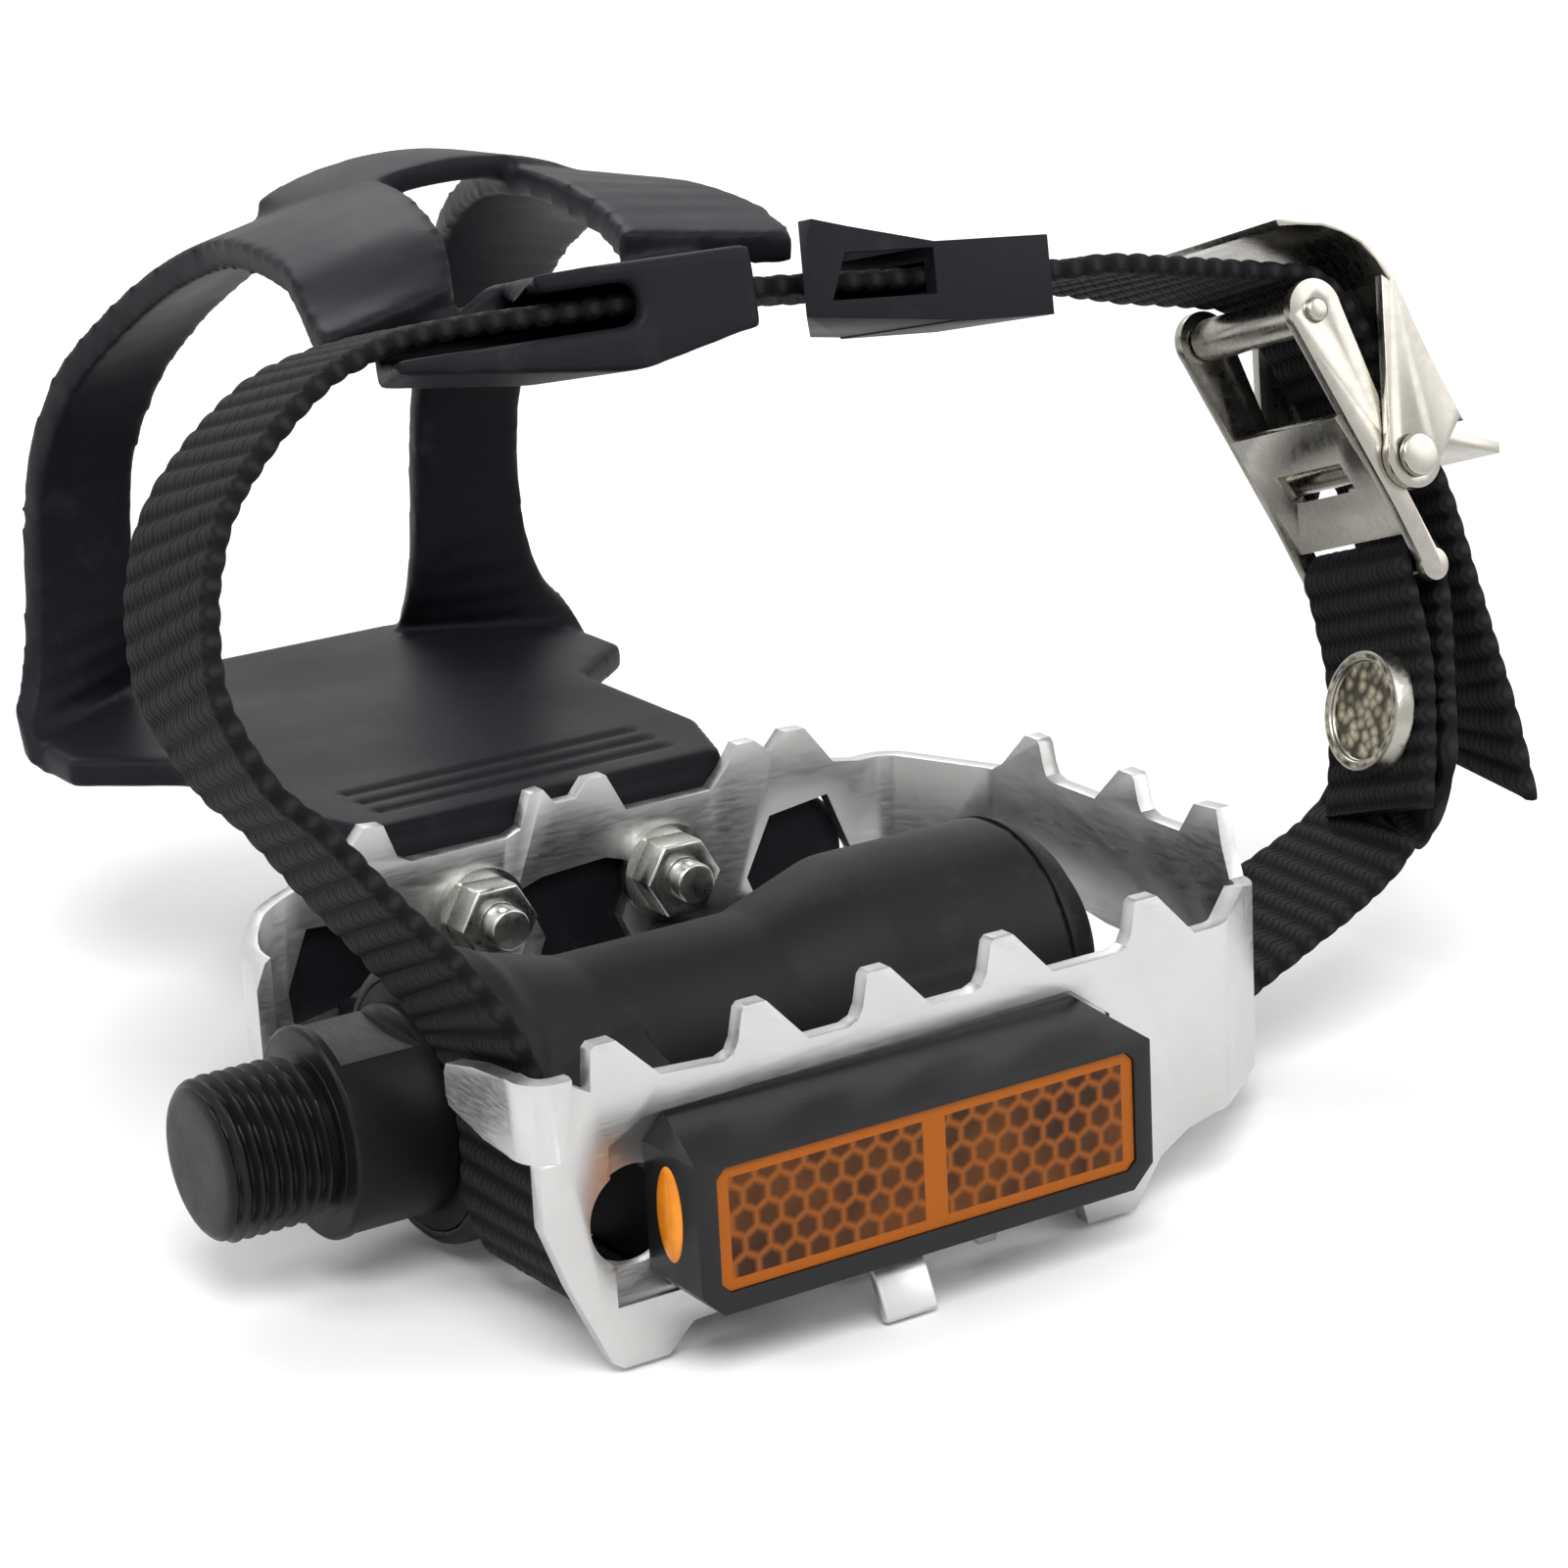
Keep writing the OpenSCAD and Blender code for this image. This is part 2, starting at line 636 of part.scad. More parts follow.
// the turn about the fixed bar, and the short end back down to the button
loop_r = bar_r + soft_gap / 2 + strap_t / 2;
strap_turn = [for (a = [10 : 20 : 170]) at_buckle(bar_at[0] + loop_r * cos(a), bar_at[1] + loop_r * sin(a))];
strap_end = [at_buckle(5.5, -26.4), at_buckle(5.6, -29), at_buckle(5.6, -33), at_buckle(4.85, -37.3),
    at_buckle(3.4, -42.6), at_buckle(2, -46.5)];

function lean_dir(a) = [0, -cos(a), -sin(a)];

module strap() {
    run = smooth(strap_run, 3);
    run_lean = smooth(strap_lean, 3);
    tail = smooth(strap_end, 3);
    c = concat(run, strap_turn, tail);
    lean = concat(run_lean, [for (p = strap_turn) -buckle_lean], [for (p = tail) -buckle_lean]);
    color([0.05, 0.05, 0.05])
    difference() {
        band(c, [for (a = lean) lean_dir(a)], [for (a = lean) strap_w], strap_t);
        button_frame()
            translate([0, 0, -8])
                cylinder(r = 1.9, h = 10);
    }
}

// the button's own frame, with +Z out of the inner face of the strap
module button_frame() {
    translate(at_buckle(button_at[0] + 1.5, button_at[1]))
        rotate([-buckle_lean, 0, 0])
            rotate([0, -90 + button_turn, 0])
                children();
}

module strap_button() {
    color([0.75, 0.75, 0.74])
    button_frame()
        union() {
            difference() {
                cylinder(r1 = button_r, r2 = button_r - 0.7, h = 1.7);
                translate([0, 0, 1.1])
                    cylinder(r = button_r - 1.6, h = 2);
            }
            translate([0, 0, -6])
                cylinder(r = 1.8, h = 7);
        }
}

module button_washer() {
    color([0.7, 0.7, 0.7])
    button_frame()
        translate([0, 0, -6])
            difference() {
                cylinder(r = 4.4, h = 0.8);
                translate([0, 0, -1])
                    cylinder(r = 1.8, h = 3);
            }
}

// everything of the buckle is drawn in U and V and has its width along Y
module in_buckle() {
    translate(buckle_at)
        rotate([-buckle_lean, 0, 0])
            children();
}

module arm_outline() {
    difference() {
        union() {
            circle(r = 2.9);
            polygon([[-2.7, -1], [2.7, 1], [5.4, -10.6], [4.4, -13.6], [5.9, -17.6], [8.4, -25],
                [7.4, -26.2], [6.4, -25.6], [4.2, -19], [0.6, -9.6]]);
            translate(pivot_at)
                circle(r = 3);
            translate(bar_at)
                circle(r = 1.5);
        }
        circle(r = 1.1 + run_gap);
        translate(pivot_at)
            circle(r = pivot_r);
    }
}

module buckle_frame() {
    color([0.8, 0.8, 0.78])
    in_buckle()
        union() {
            for (s = [-1, 1])
                slab_y(s > 0 ? buckle_half : -buckle_half - arm_t, s > 0 ? buckle_half + arm_t : -buckle_half)
                    arm_outline();
            difference() {
                slab_y(-buckle_half - eps, buckle_half + eps)
                    polygon([[0.3, -9.9], [1.3, -9.5], [6.5, -21.2], [5.6, -21.6]]);
                translate([2.8, -5, -16.8])
                    rotate([0, -24, 0])
                        cube([6, 10, 2.8], center = false);
                translate([-2, -4, -16.8])
                    cube([8, 8, 2.6]);
            }
            rod_y(bar_r, bar_at[0], bar_at[1], -buckle_half - arm_t, buckle_half + arm_t);
        }
}

module buckle_roller() {
    color([0.75, 0.75, 0.74])
    in_buckle()
        union() {
            rod_y(roller_r, 0, 0, -buckle_half + 0.2, buckle_half - 0.2);
            rod_y(1.1, 0, 0, -buckle_half - arm_t - 0.5, buckle_half + arm_t + 0.5);
        }
}

module buckle_pin() {
    color([0.75, 0.75, 0.74])
    in_buckle()
        union() {
            rod_y(pivot_r, pivot_at[0], pivot_at[1], -buckle_half - arm_t - 1.3, buckle_half + arm_t + 1.3);
            for (s = [-1, 1])
                rod_y(2, pivot_at[0], pivot_at[1], s * (buckle_half + arm_t + 1.7) - 0.45,
                    s * (buckle_half + arm_t + 1.7) + 0.45);
        }
}

lever_out = [[-3.2, 8.6], [2, 7.9], [6.2, 5.6], [8.7, 1.6], [10, -3], [11.6, -8], [13.3, -12.6]];

module buckle_lever() {
    outer = smooth(lever_out, 2);
    inner = [for (i = [len(outer) - 1 : -1 : 0]) outer[i] * 0.93];
    color([0.82, 0.81, 0.76])
    in_buckle()
        union() {
            slab_y(-buckle_half - arm_t - 1.1, buckle_half + arm_t + 1.1)
                polygon(concat(outer, inner));
            slab_y(-6, 6)
                polygon([[13.1, -11.4], [14.6, -13.2], [20.4, -15.2], [20.2, -16.2], [13.6, -14.2],
                    [12.3, -11.8]]);
            for (s = [-1, 1])
                slab_y(s > 0 ? buckle_half + arm_t + 0.1 : -buckle_half - arm_t - 1.1,
                    s > 0 ? buckle_half + arm_t + 1.1 : -buckle_half - arm_t - 0.1)
                    difference() {
                        union() {
                            translate(pivot_at)
                                circle(r = 3);
                            polygon([[4.2, -13.6], [7.4, 2], [9, 0.6], [10.9, -6.4], [12.9, -12.2],
                                [9.6, -15.6]]);
                        }
                        translate(pivot_at)
                            circle(r = pivot_r + run_gap);
                    }
        }
}

// frame of the straight run of the strap inside the slider
module in_slider() {
    translate(slider_at)
        rotate([-13, 0, 0])
            rotate([0, slider_drop, 0])
                children();
}

module strap_slider() {
    half = strap_w / 2 + soft_gap;
    gap_z = strap_t / 2 + soft_gap;
    wall = 1.6;
    low_wall = 2.8;
    color([0.07, 0.07, 0.07])
    in_slider()
        difference() {
            union() {
                translate([2, -half - wall, -gap_z - low_wall])
                    cube([10.4, 2 * (half + wall), 2 * gap_z + wall + low_wall]);
                // the peaked end, cut on a slant to keep clear of the basket
                intersection() {
                    slab_y(-half - wall, half + wall)
                        polygon([[-13.4, 1.2], [-13.4, -gap_z - wall + 0.6], [-12.4, -gap_z - wall],
                            [4, -gap_z - low_wall], [4, gap_z + wall], [0.6, gap_z + wall], [-8, 4.6],
                            [-11.6, 5.4]]);
                    translate([0, 0, -8])
                        linear_extrude(height = 16)
                            polygon([[-13.6, -half - wall - 1], [5, -half - wall - 1], [5, half + wall + 1],
                                [-0.5, half + wall + 1]]);
                }
            }
            translate([-20, -half, -gap_z])
                cube([40, 2 * half, 2 * gap_z]);
            translate([-10, -half, -gap_z])
                cube([9, 2 * half, 12]);
        }
}

// frame of the strap inside the guide of the toe clip
module in_guide() {
    translate(guide_at)
        rotate([-guide_lean, 0, 0])
            rotate([0, 1, 0])
                children();
}

module guide() {
    half = strap_w / 2 + 0.6;
    gap_z = strap_t / 2 + 0.9;
    wall = 1.8;
    in_guide()
        difference() {
            intersection() {
                translate([0, 0, -10])
                    linear_extrude(height = 20)
                        polygon([[-17, -half - wall], [17.6, -half - wall], [23, half + wall], [-9, half + wall]]);
                // the lower lip is deepest where the closed part begins
                slab_y(-half - wall - 1, half + wall + 1)
                    polygon([[-18, -gap_z - 1], [4.6, -gap_z - wall - 1.9], [6.6, -gap_z - wall - 1.9],
                        [16.5, -gap_z - wall], [24, -gap_z - wall], [24, gap_z + wall - 0.2],
                        [-18, gap_z + wall - 0.2]]);
            }
            translate([-30, -half, -gap_z])
                cube([60, 2 * half, 2 * gap_z]);
            // the crank side half is open towards the heel
            translate([-18, -half - wall - 1, -gap_z])
                cube([24.4, wall + 2, 2 * gap_z]);
            // and open at the top
            translate([0, 0, -gap_z])
                linear_extrude(height = 12)
                    polygon([[-20, -half - wall - 1], [-4, -half - wall - 1], [-2.5, -half], [3, half], [-20, half]]);
        }
}

// the arms of the basket, as [distance from the middle, y, z], from a foot upwards
arm_path = [[25.5, 87.6, 11.2], [24.4, 88, 14], [22.8, 88, 18], [22.2, 87.8, 24], [22.1, 87.5, 30],
    [21.9, 85.9, 38], [21.5, 83.2, 43.4], [20.5, 78.2, 50], [18.8, 72.4, 55.2], [16.9, 65.4, 60],
    [15.6, 58, 63.8]];
arm_width = [22, 20, 15, 12.4, 11.6, 11.6, 11.8, 12.4, 13.2, 14.4, 15.6];
arm_dir = [[0.71, -0.71, 0], [0.8, -0.6, 0], [0.93, -0.36, 0], [0.98, -0.2, 0], [0.985, -0.17, 0],
    [0.985, -0.17, 0], [0.98, -0.16, -0.05], [0.98, -0.13, -0.1], [0.97, -0.1, -0.16], [0.97, -0.06, -0.2],
    [0.97, -0.03, -0.22]];
// the arms run on as the two sides of the hood, down to the strap guide
hood_left = [[28.6, 50, 66.6], [27.2, 41, 68.2], [25.2, 31, 68.4], [22.8, 21, 67.6], [20.6, 12.6, 66.2]];
hood_right = [[57.6, 50, 66.4], [57, 41, 67.6], [55.8, 31, 67.8], [54.2, 21, 67.2], [51.6, 12.6, 66.2]];
hood_width = [16.4, 16.6, 16.4, 16, 15.6];
hood_dir = [[0.97, 0, -0.22], [0.97, -0.04, -0.2], [0.97, -0.12, -0.16], [0.96, -0.2, -0.12],
    [0.94, -0.3, -0.1]];
crown_path = [[29.6, 50, 67.4], [33, 49.8, 69], [38, 49.6, 70.1], [43.3, 49.5, 70.5], [48.6, 49.6, 70],
    [53.4, 49.8, 68.8], [56.8, 50, 67.2]];

// side s of the basket is -1 towards the crank and 1 towards the outer end
module rail(s) {
    hood = s < 0 ? hood_left : hood_right;
    c = smooth(concat([for (p = arm_path) [clip_mid + s * p[0], p[1], p[2]]], hood), 2);
    w = smooth([for (p = concat(arm_dir, hood_dir)) [p[0], s * p[1], s * p[2]]], 2);
    band(c, w, smooth(concat(arm_width, hood_width), 2), clip_wall);
}

module crown() {
    c = smooth(crown_path, 2);
    band(c, [for (p = c) [0, -1, 0.06]], [for (p = c) 13.6], clip_wall - 0.7);
}

module toe_clip() {
    half_w = 31.4;
    color([0.06, 0.06, 0.065])
    difference() {
        union() {
            // platform
            translate([0, 0, deck_low])
                linear_extrude(height = clip_wall)
                    polygon([for (s = [1, -1]) for (p = s > 0
                        ? [[19, cage_half + 0.8], [22.7, 43.4], [22.7, 65], [half_w, 72.6], [half_w, 78.5],
                            [29.6, 84], [17, deck_front]]
                        : [[17, deck_front], [29.6, 84], [half_w, 78.5], [half_w, 72.6], [22.7, 65],
                            [22.7, 43.4], [19, cage_half + 0.8]]) [clip_mid + s * p[0], p[1]]]);
            // flange against the cage
            slab_y(cage_half, cage_half + 2.6)
                polygon([[12.5, -6], [17, -9.8], [70, -9.8], [75.6, -5], [75.6, 4], [70, 9.2], [63, deck_low + 1],
                    [23.6, deck_low + 1], [17, 9.2], [12.5, 4]]);
            rail(-1);
            rail(1);
            crown();
            guide();
        }
        for (x = bolt_x)
            rod_y(bolt_r + 0.05, x, bolt_z, cage_half - 1, cage_half + 4);
        for (x = [36, 50])
            rod_y(1.65, x, -5, cage_half - 1, cage_half + 4);
        // three shallow grooves across the rear of the platform
        for (k = [0 : 2])
            translate([clip_mid - 16, 37 + 3.4 * k, deck_z - 0.5])
                cube([32, 1.2, 2]);
    }
}

module toe_clip_bolts() {
    color([0.6, 0.6, 0.6])
    for (x = bolt_x) {
        rod_y(bolt_r, x, bolt_z, 24, cage_half + 2.6);
        translate([x, cage_half + 2.6, bolt_z])
            rotate([-90, 0, 0])
                cylinder(r1 = 3.8, r2 = 3, h = 2.4);
    }
}

module toe_clip_washers() {
    color([0.7, 0.7, 0.7])
    for (x = bolt_x)
        difference() {
            rod_y(4.6, x, bolt_z, cage_in - washer_t, cage_in);
            rod_y(bolt_r, x, bolt_z, cage_in - washer_t - 1, cage_in + 1);
        }
}

module toe_clip_nuts() {
    color([0.65, 0.65, 0.65])
    for (x = bolt_x)
        difference() {
            translate([x, cage_in - washer_t, bolt_z])
                rotate([90, 0, 0])
                    cylinder(r = 4.04, h = nut_t, $fn = 6);
            rod_y(bolt_r, x, bolt_z, cage_in - washer_t - nut_t - 1, cage_in);
        }
}

// which piece to draw

spindle();
pedal_body();
cage();
cage_screws();
inner_seal();
inner_cup();
outer_cup();
inner_balls();
outer_balls();
cone();
lock_washer();
lock_nut();
dust_cap();
rear_reflector_housing();
rear_reflector_lens();
front_reflector_housing();
front_reflector_lens();
toe_clip();
toe_clip_bolts();
toe_clip_washers();
toe_clip_nuts();
strap();
strap_slider();
buckle_frame();
buckle_lever();
buckle_roller();
buckle_pin();
strap_button();
button_washer();
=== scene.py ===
import bpy
from math import sin, cos, pi, radians, sqrt
from mathutils import Vector, Matrix


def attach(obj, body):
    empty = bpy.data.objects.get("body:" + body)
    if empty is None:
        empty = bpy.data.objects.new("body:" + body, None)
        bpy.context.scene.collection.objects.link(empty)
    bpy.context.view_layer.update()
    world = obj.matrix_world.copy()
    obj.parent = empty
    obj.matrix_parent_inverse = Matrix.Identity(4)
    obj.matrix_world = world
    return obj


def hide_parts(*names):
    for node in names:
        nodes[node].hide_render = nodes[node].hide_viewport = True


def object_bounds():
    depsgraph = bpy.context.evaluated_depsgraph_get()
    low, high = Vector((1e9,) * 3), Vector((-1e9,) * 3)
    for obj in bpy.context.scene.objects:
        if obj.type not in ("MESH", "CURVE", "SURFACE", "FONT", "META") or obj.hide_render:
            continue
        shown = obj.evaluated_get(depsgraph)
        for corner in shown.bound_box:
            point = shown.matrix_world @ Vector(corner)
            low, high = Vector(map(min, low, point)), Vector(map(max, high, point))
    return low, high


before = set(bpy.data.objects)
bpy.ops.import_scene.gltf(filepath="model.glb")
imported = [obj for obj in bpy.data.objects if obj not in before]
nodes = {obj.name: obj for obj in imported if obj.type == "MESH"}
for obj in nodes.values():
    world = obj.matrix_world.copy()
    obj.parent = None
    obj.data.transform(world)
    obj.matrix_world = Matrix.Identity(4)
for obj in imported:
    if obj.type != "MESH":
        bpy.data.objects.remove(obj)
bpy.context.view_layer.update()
mm = 0.001
# from one rib of the webbing to the next in millimetres, for its form and for its yarns
ribPitch = 2.3


def clearPick():
    if bpy.context.object and bpy.context.object.mode != "OBJECT":
        bpy.ops.object.mode_set(mode="OBJECT")
    bpy.ops.object.select_all(action="DESELECT")


def pick(obj):
    clearPick()
    obj.select_set(True)
    bpy.context.view_layer.objects.active = obj


def editAll(obj):
    pick(obj)
    bpy.ops.object.mode_set(mode="EDIT")
    bpy.ops.mesh.select_all(action="SELECT")


def endFacingOut():
    # ends an edit with all faces turned outwards
    bpy.ops.mesh.select_all(action="SELECT")
    bpy.ops.mesh.normals_make_consistent(inside=False)
    bpy.ops.object.mode_set(mode="OBJECT")


def newObject(name, verts, faces):
    mesh = bpy.data.meshes.new(name)
    mesh.from_pydata(verts, [], faces)
    obj = bpy.data.objects.new(name, mesh)
    bpy.context.scene.collection.objects.link(obj)
    return obj


def setSocket(tree, socket, value):
    # a number or a colour is set on the socket, an output is linked to it
    if isinstance(value, tuple):
        socket.default_value = (*value, 1)
    elif isinstance(value, (int, float)):
        socket.default_value = value
    else:
        tree.links.new(value, socket)


def addMath(tree, operation, *values):
    node = tree.nodes.new("ShaderNodeMath")
    node.operation = operation
    for i, value in enumerate(values):
        setSocket(tree, node.inputs[i], value)
    return node.outputs[0]


def addNoise(tree, vector, scale, detail=3.0, rough=0.5):
    node = tree.nodes.new("ShaderNodeTexNoise")
    node.inputs["Detail"].default_value = detail
    node.inputs["Roughness"].default_value = rough
    setSocket(tree, node.inputs["Scale"], scale)
    tree.links.new(vector, node.inputs["Vector"])
    return node.outputs["Fac"]


def addRange(tree, value, given, wanted=(0.0, 1.0)):
    # takes the given range of the value to the wanted one
    node = tree.nodes.new("ShaderNodeMapRange")
    for label, end in zip(("From Min", "From Max", "To Min", "To Max"), (*given, *wanted)):
        setSocket(tree, node.inputs[label], end)
    tree.links.new(value, node.inputs["Value"])
    return node.outputs["Result"]


def addMixColor(tree, factor, a, b):
    node = tree.nodes.new("ShaderNodeMix")
    node.data_type = "RGBA"
    # by number, because the sockets for numbers and colours have the same names
    for i, value in ((0, factor), (6, a), (7, b)):
        setSocket(tree, node.inputs[i], value)
    return node.outputs[2]


def addSplit(tree, vector):
    node = tree.nodes.new("ShaderNodeSeparateXYZ")
    tree.links.new(vector, node.inputs[0])
    return node


def newGroup(name, inputs, outputs):
    group = bpy.data.node_groups.new(name, "ShaderNodeTree")
    for label, value in inputs.items():
        kind = "NodeSocketVector" if isinstance(value, tuple) else "NodeSocketFloat"
        socket = group.interface.new_socket(label, in_out="INPUT", socket_type=kind)
        socket.default_value = value
    for label in outputs:
        group.interface.new_socket(label, in_out="OUTPUT", socket_type="NodeSocketFloat")
    inside = group.nodes.new("NodeGroupInput")
    outside = group.nodes.new("NodeGroupOutput")
    return group, inside, outside


def buildMouldedGroup():
    # fine spark-eroded grain of a moulded part, with a slow change of gloss and specks of dust
    group, inside, outside = newGroup("mouldedGrain",
        {"Vector": (0, 0, 0), "Grain": 2600.0, "Low": 0.34, "High": 0.5},
        ("Roughness", "Height", "Dust"))
    place = inside.outputs["Vector"]
    slow = addNoise(group, place, scale=55.0, detail=4.0)
    rough = addRange(group, slow, (0.3, 0.7), (inside.outputs["Low"], inside.outputs["High"]))
    fine = addNoise(group, place, scale=inside.outputs["Grain"], detail=2.0)
    specks = addNoise(group, place, scale=160.0, detail=6.0, rough=0.65)
    group.links.new(rough, outside.inputs["Roughness"])
    group.links.new(fine, outside.inputs["Height"])
    group.links.new(addRange(group, specks, (0.56, 0.8)), outside.inputs["Dust"])
    return group


def buildBrushedGroup():
    # long fine strokes of a brushed or rolled sheet, and a slow change of tone
    group, inside, outside = newGroup("brushedStrokes",
        {"Vector": (0, 0, 0), "Stretch": (1, 1, 18), "Low": 0.25, "High": 0.45},
        ("Roughness", "Height", "Tone"))
    stretched = group.nodes.new("ShaderNodeVectorMath")
    stretched.operation = "MULTIPLY"
    group.links.new(inside.outputs["Vector"], stretched.inputs[0])
    group.links.new(inside.outputs["Stretch"], stretched.inputs[1])
    stroke = addNoise(group, stretched.outputs[0], scale=120.0, detail=5.0, rough=0.6)
    slow = addNoise(group, inside.outputs["Vector"], scale=70.0, detail=4.0)
    strokeShare, slowShare = 0.6, 0.4
    both = addMath(group, "MULTIPLY_ADD", stroke, strokeShare,
        addMath(group, "MULTIPLY", slow, slowShare))
    rough = addRange(group, both, (0.35, 0.65), (inside.outputs["Low"], inside.outputs["High"]))
    group.links.new(rough, outside.inputs["Roughness"])
    group.links.new(stroke, outside.inputs["Height"])
    group.links.new(slow, outside.inputs["Tone"])
    return group


def buildHoneycombGroup():
    # hexagonal cells in X and Z: 0 in the middle of the nearest cell, 1 at its edge
    group, inside, outside = newGroup("honeycomb", {"Vector": (0, 0, 0), "Cells": 600.0}, ("Edge",))
    split = addSplit(group, inside.outputs["Vector"])
    x = addMath(group, "MULTIPLY", split.outputs["X"], inside.outputs["Cells"])
    z = addMath(group, "MULTIPLY", split.outputs["Z"], inside.outputs["Cells"])
    root = sqrt(3)

    def fromMiddle(value, period):
        wrapped = addMath(group, "FLOORED_MODULO", value, period)
        return addMath(group, "SUBTRACT", wrapped, period / 2)

    def hexDistance(px, pz):
        ux = addMath(group, "ABSOLUTE", px)
        uz = addMath(group, "ABSOLUTE", pz)
        slanted = addMath(group, "MULTIPLY_ADD", uz, root / 2, addMath(group, "MULTIPLY", ux, 0.5))
        return addMath(group, "MAXIMUM", ux, slanted)

    # two rectangular fields of cells, the second moved by half a cell both ways
    first = hexDistance(fromMiddle(x, 1.0), fromMiddle(z, root))
    second = hexDistance(fromMiddle(addMath(group, "ADD", x, 0.5), 1.0),
        fromMiddle(addMath(group, "ADD", z, root / 2), root))
    near = addMath(group, "MINIMUM", first, second)
    group.links.new(addMath(group, "MULTIPLY", near, 2.0), outside.inputs["Edge"])
    return group


print("shared effects")
mouldedGrain = buildMouldedGroup()
brushedStrokes = buildBrushedGroup()
honeycomb = buildHoneycombGroup()


def newMaterial(name, color, metal=0.0, rough=0.4, specular=0.5):
    mat = bpy.data.materials.new(name)
    mat.use_nodes = True
    tree = mat.node_tree
    shader = tree.nodes["Principled BSDF"]
    shader.inputs["Base Color"].default_value = (*color, 1)
    shader.inputs["Metallic"].default_value = metal
    shader.inputs["Roughness"].default_value = rough
    shader.inputs["Specular IOR Level"].default_value = specular
    coord = tree.nodes.new("ShaderNodeTexCoord")
    return mat, tree, shader, coord


def useGroup(tree, group, vector, **values):
    node = tree.nodes.new("ShaderNodeGroup")
    node.node_tree = group
    tree.links.new(vector, node.inputs["Vector"])
    for label, value in values.items():
        node.inputs[label].default_value = value
    return node


def addBump(tree, shader, height, distance, strength):
    bump = tree.nodes.new("ShaderNodeBump")
    bump.inputs["Distance"].default_value = distance
    bump.inputs["Strength"].default_value = strength
    tree.links.new(height, bump.inputs["Height"])
    tree.links.new(bump.outputs["Normal"], shader.inputs["Normal"])


def setColor(tree, shader, factor, a, b):
    tree.links.new(addMixColor(tree, factor, a, b), shader.inputs["Base Color"])


def mouldedPlastic(name, color, rough, dusty=0.25, specular=0.16):
    mat, tree, shader, coord = newMaterial(name, color, specular=specular)
    group = useGroup(tree, mouldedGrain, coord.outputs["Object"], Low=rough[0], High=rough[1])
    tree.links.new(group.outputs["Roughness"], shader.inputs["Roughness"])
    paler = 0.05
    dust = addMath(tree, "MULTIPLY", group.outputs["Dust"], dusty)
    setColor(tree, shader, dust, color, tuple(c + paler for c in color))
    addBump(tree, shader, group.outputs["Height"], distance=0.00004, strength=0.35)
    return mat


def brushedMetal(name, color, rough, stretch, darker=0.82, bump=0.2, metal=1.0, specular=0.5):
    mat, tree, shader, coord = newMaterial(name, color, metal=metal, specular=specular)
    group = useGroup(tree, brushedStrokes, coord.outputs["Object"],
        Stretch=stretch, Low=rough[0], High=rough[1])
    tree.links.new(group.outputs["Roughness"], shader.inputs["Roughness"])
    setColor(tree, shader, group.outputs["Tone"], color, tuple(c * darker for c in color))
    addBump(tree, shader, group.outputs["Height"], distance=0.00003, strength=bump)
    return mat


# colours, with painted shade in the valleys between the ribs and a painted highlight on their
# crests, the slant of the yarns, and how much each layer gives to the bump
webbingLook = {"base": (0.012, 0.012, 0.014), "valleyShade": (0.0015, 0.0015, 0.002),
    "crest": (0.019, 0.019, 0.021), "slant": 1.3, "round": 0.6, "fuzzScale": 2400.0, "fuzz": 0.35}


def buildWebbing():
    look = webbingLook
    mat, tree, shader, coord = newMaterial("blackWebbing", look["base"], rough=0.7, specular=0.12)
    split = addSplit(tree, coord.outputs["UV"])
    # yarns slant across each rib, one way on one rib and the other way on the next
    along = addMath(tree, "MULTIPLY", split.outputs["Y"], 1 / ribPitch)
    side = addMath(tree, "PINGPONG", along, 0.5)
    across = addMath(tree, "MULTIPLY", split.outputs["X"], look["slant"])
    slanted = addMath(tree, "MULTIPLY_ADD", side, look["slant"], across)
    yarn = addMath(tree, "PINGPONG", slanted, 0.5)
    height = addMath(tree, "POWER", addMath(tree, "MULTIPLY", yarn, 2.0), look["round"])
    fuzz = addNoise(tree, coord.outputs["Object"], scale=look["fuzzScale"])
    addBump(tree, shader, addMath(tree, "MULTIPLY_ADD", fuzz, look["fuzz"], height),
        distance=0.00014, strength=0.6)
    # painted light: the crests of the ribs and yarns take a painted highlight, the valleys between
    # them painted shade
    rib = addMath(tree, "ABSOLUTE", addMath(tree, "SINE", addMath(tree, "MULTIPLY", along, pi)))
    crest = addMath(tree, "MULTIPLY", addRange(tree, height, (0.3, 1.0), (0.25, 1.0)),
        addRange(tree, rib, (0.35, 1.0)))
    setColor(tree, shader, crest, look["valleyShade"], look["crest"])
    return mat


# the lens in X and Z: middle and half size of the cells' field, and the plain bar, in millimetres
lensPlan = {"middle": 36.5, "halfWide": 19.2, "height": -0.3, "halfHigh": 4.3,
    "bar": 36.9, "halfBar": 1.1}
# its coat, the cells in a metre, and the colours of the border and of a cell's edge and middle
lensLook = {"base": (0.4, 0.11, 0.005), "coat": 0.08, "coatRough": 0.04, "cells": 430.0,
    "border": (0.33, 0.085, 0.004), "edge": (0.25, 0.07, 0.008), "dark": (0.025, 0.009, 0.003),
    "light": (0.1, 0.03, 0.004)}


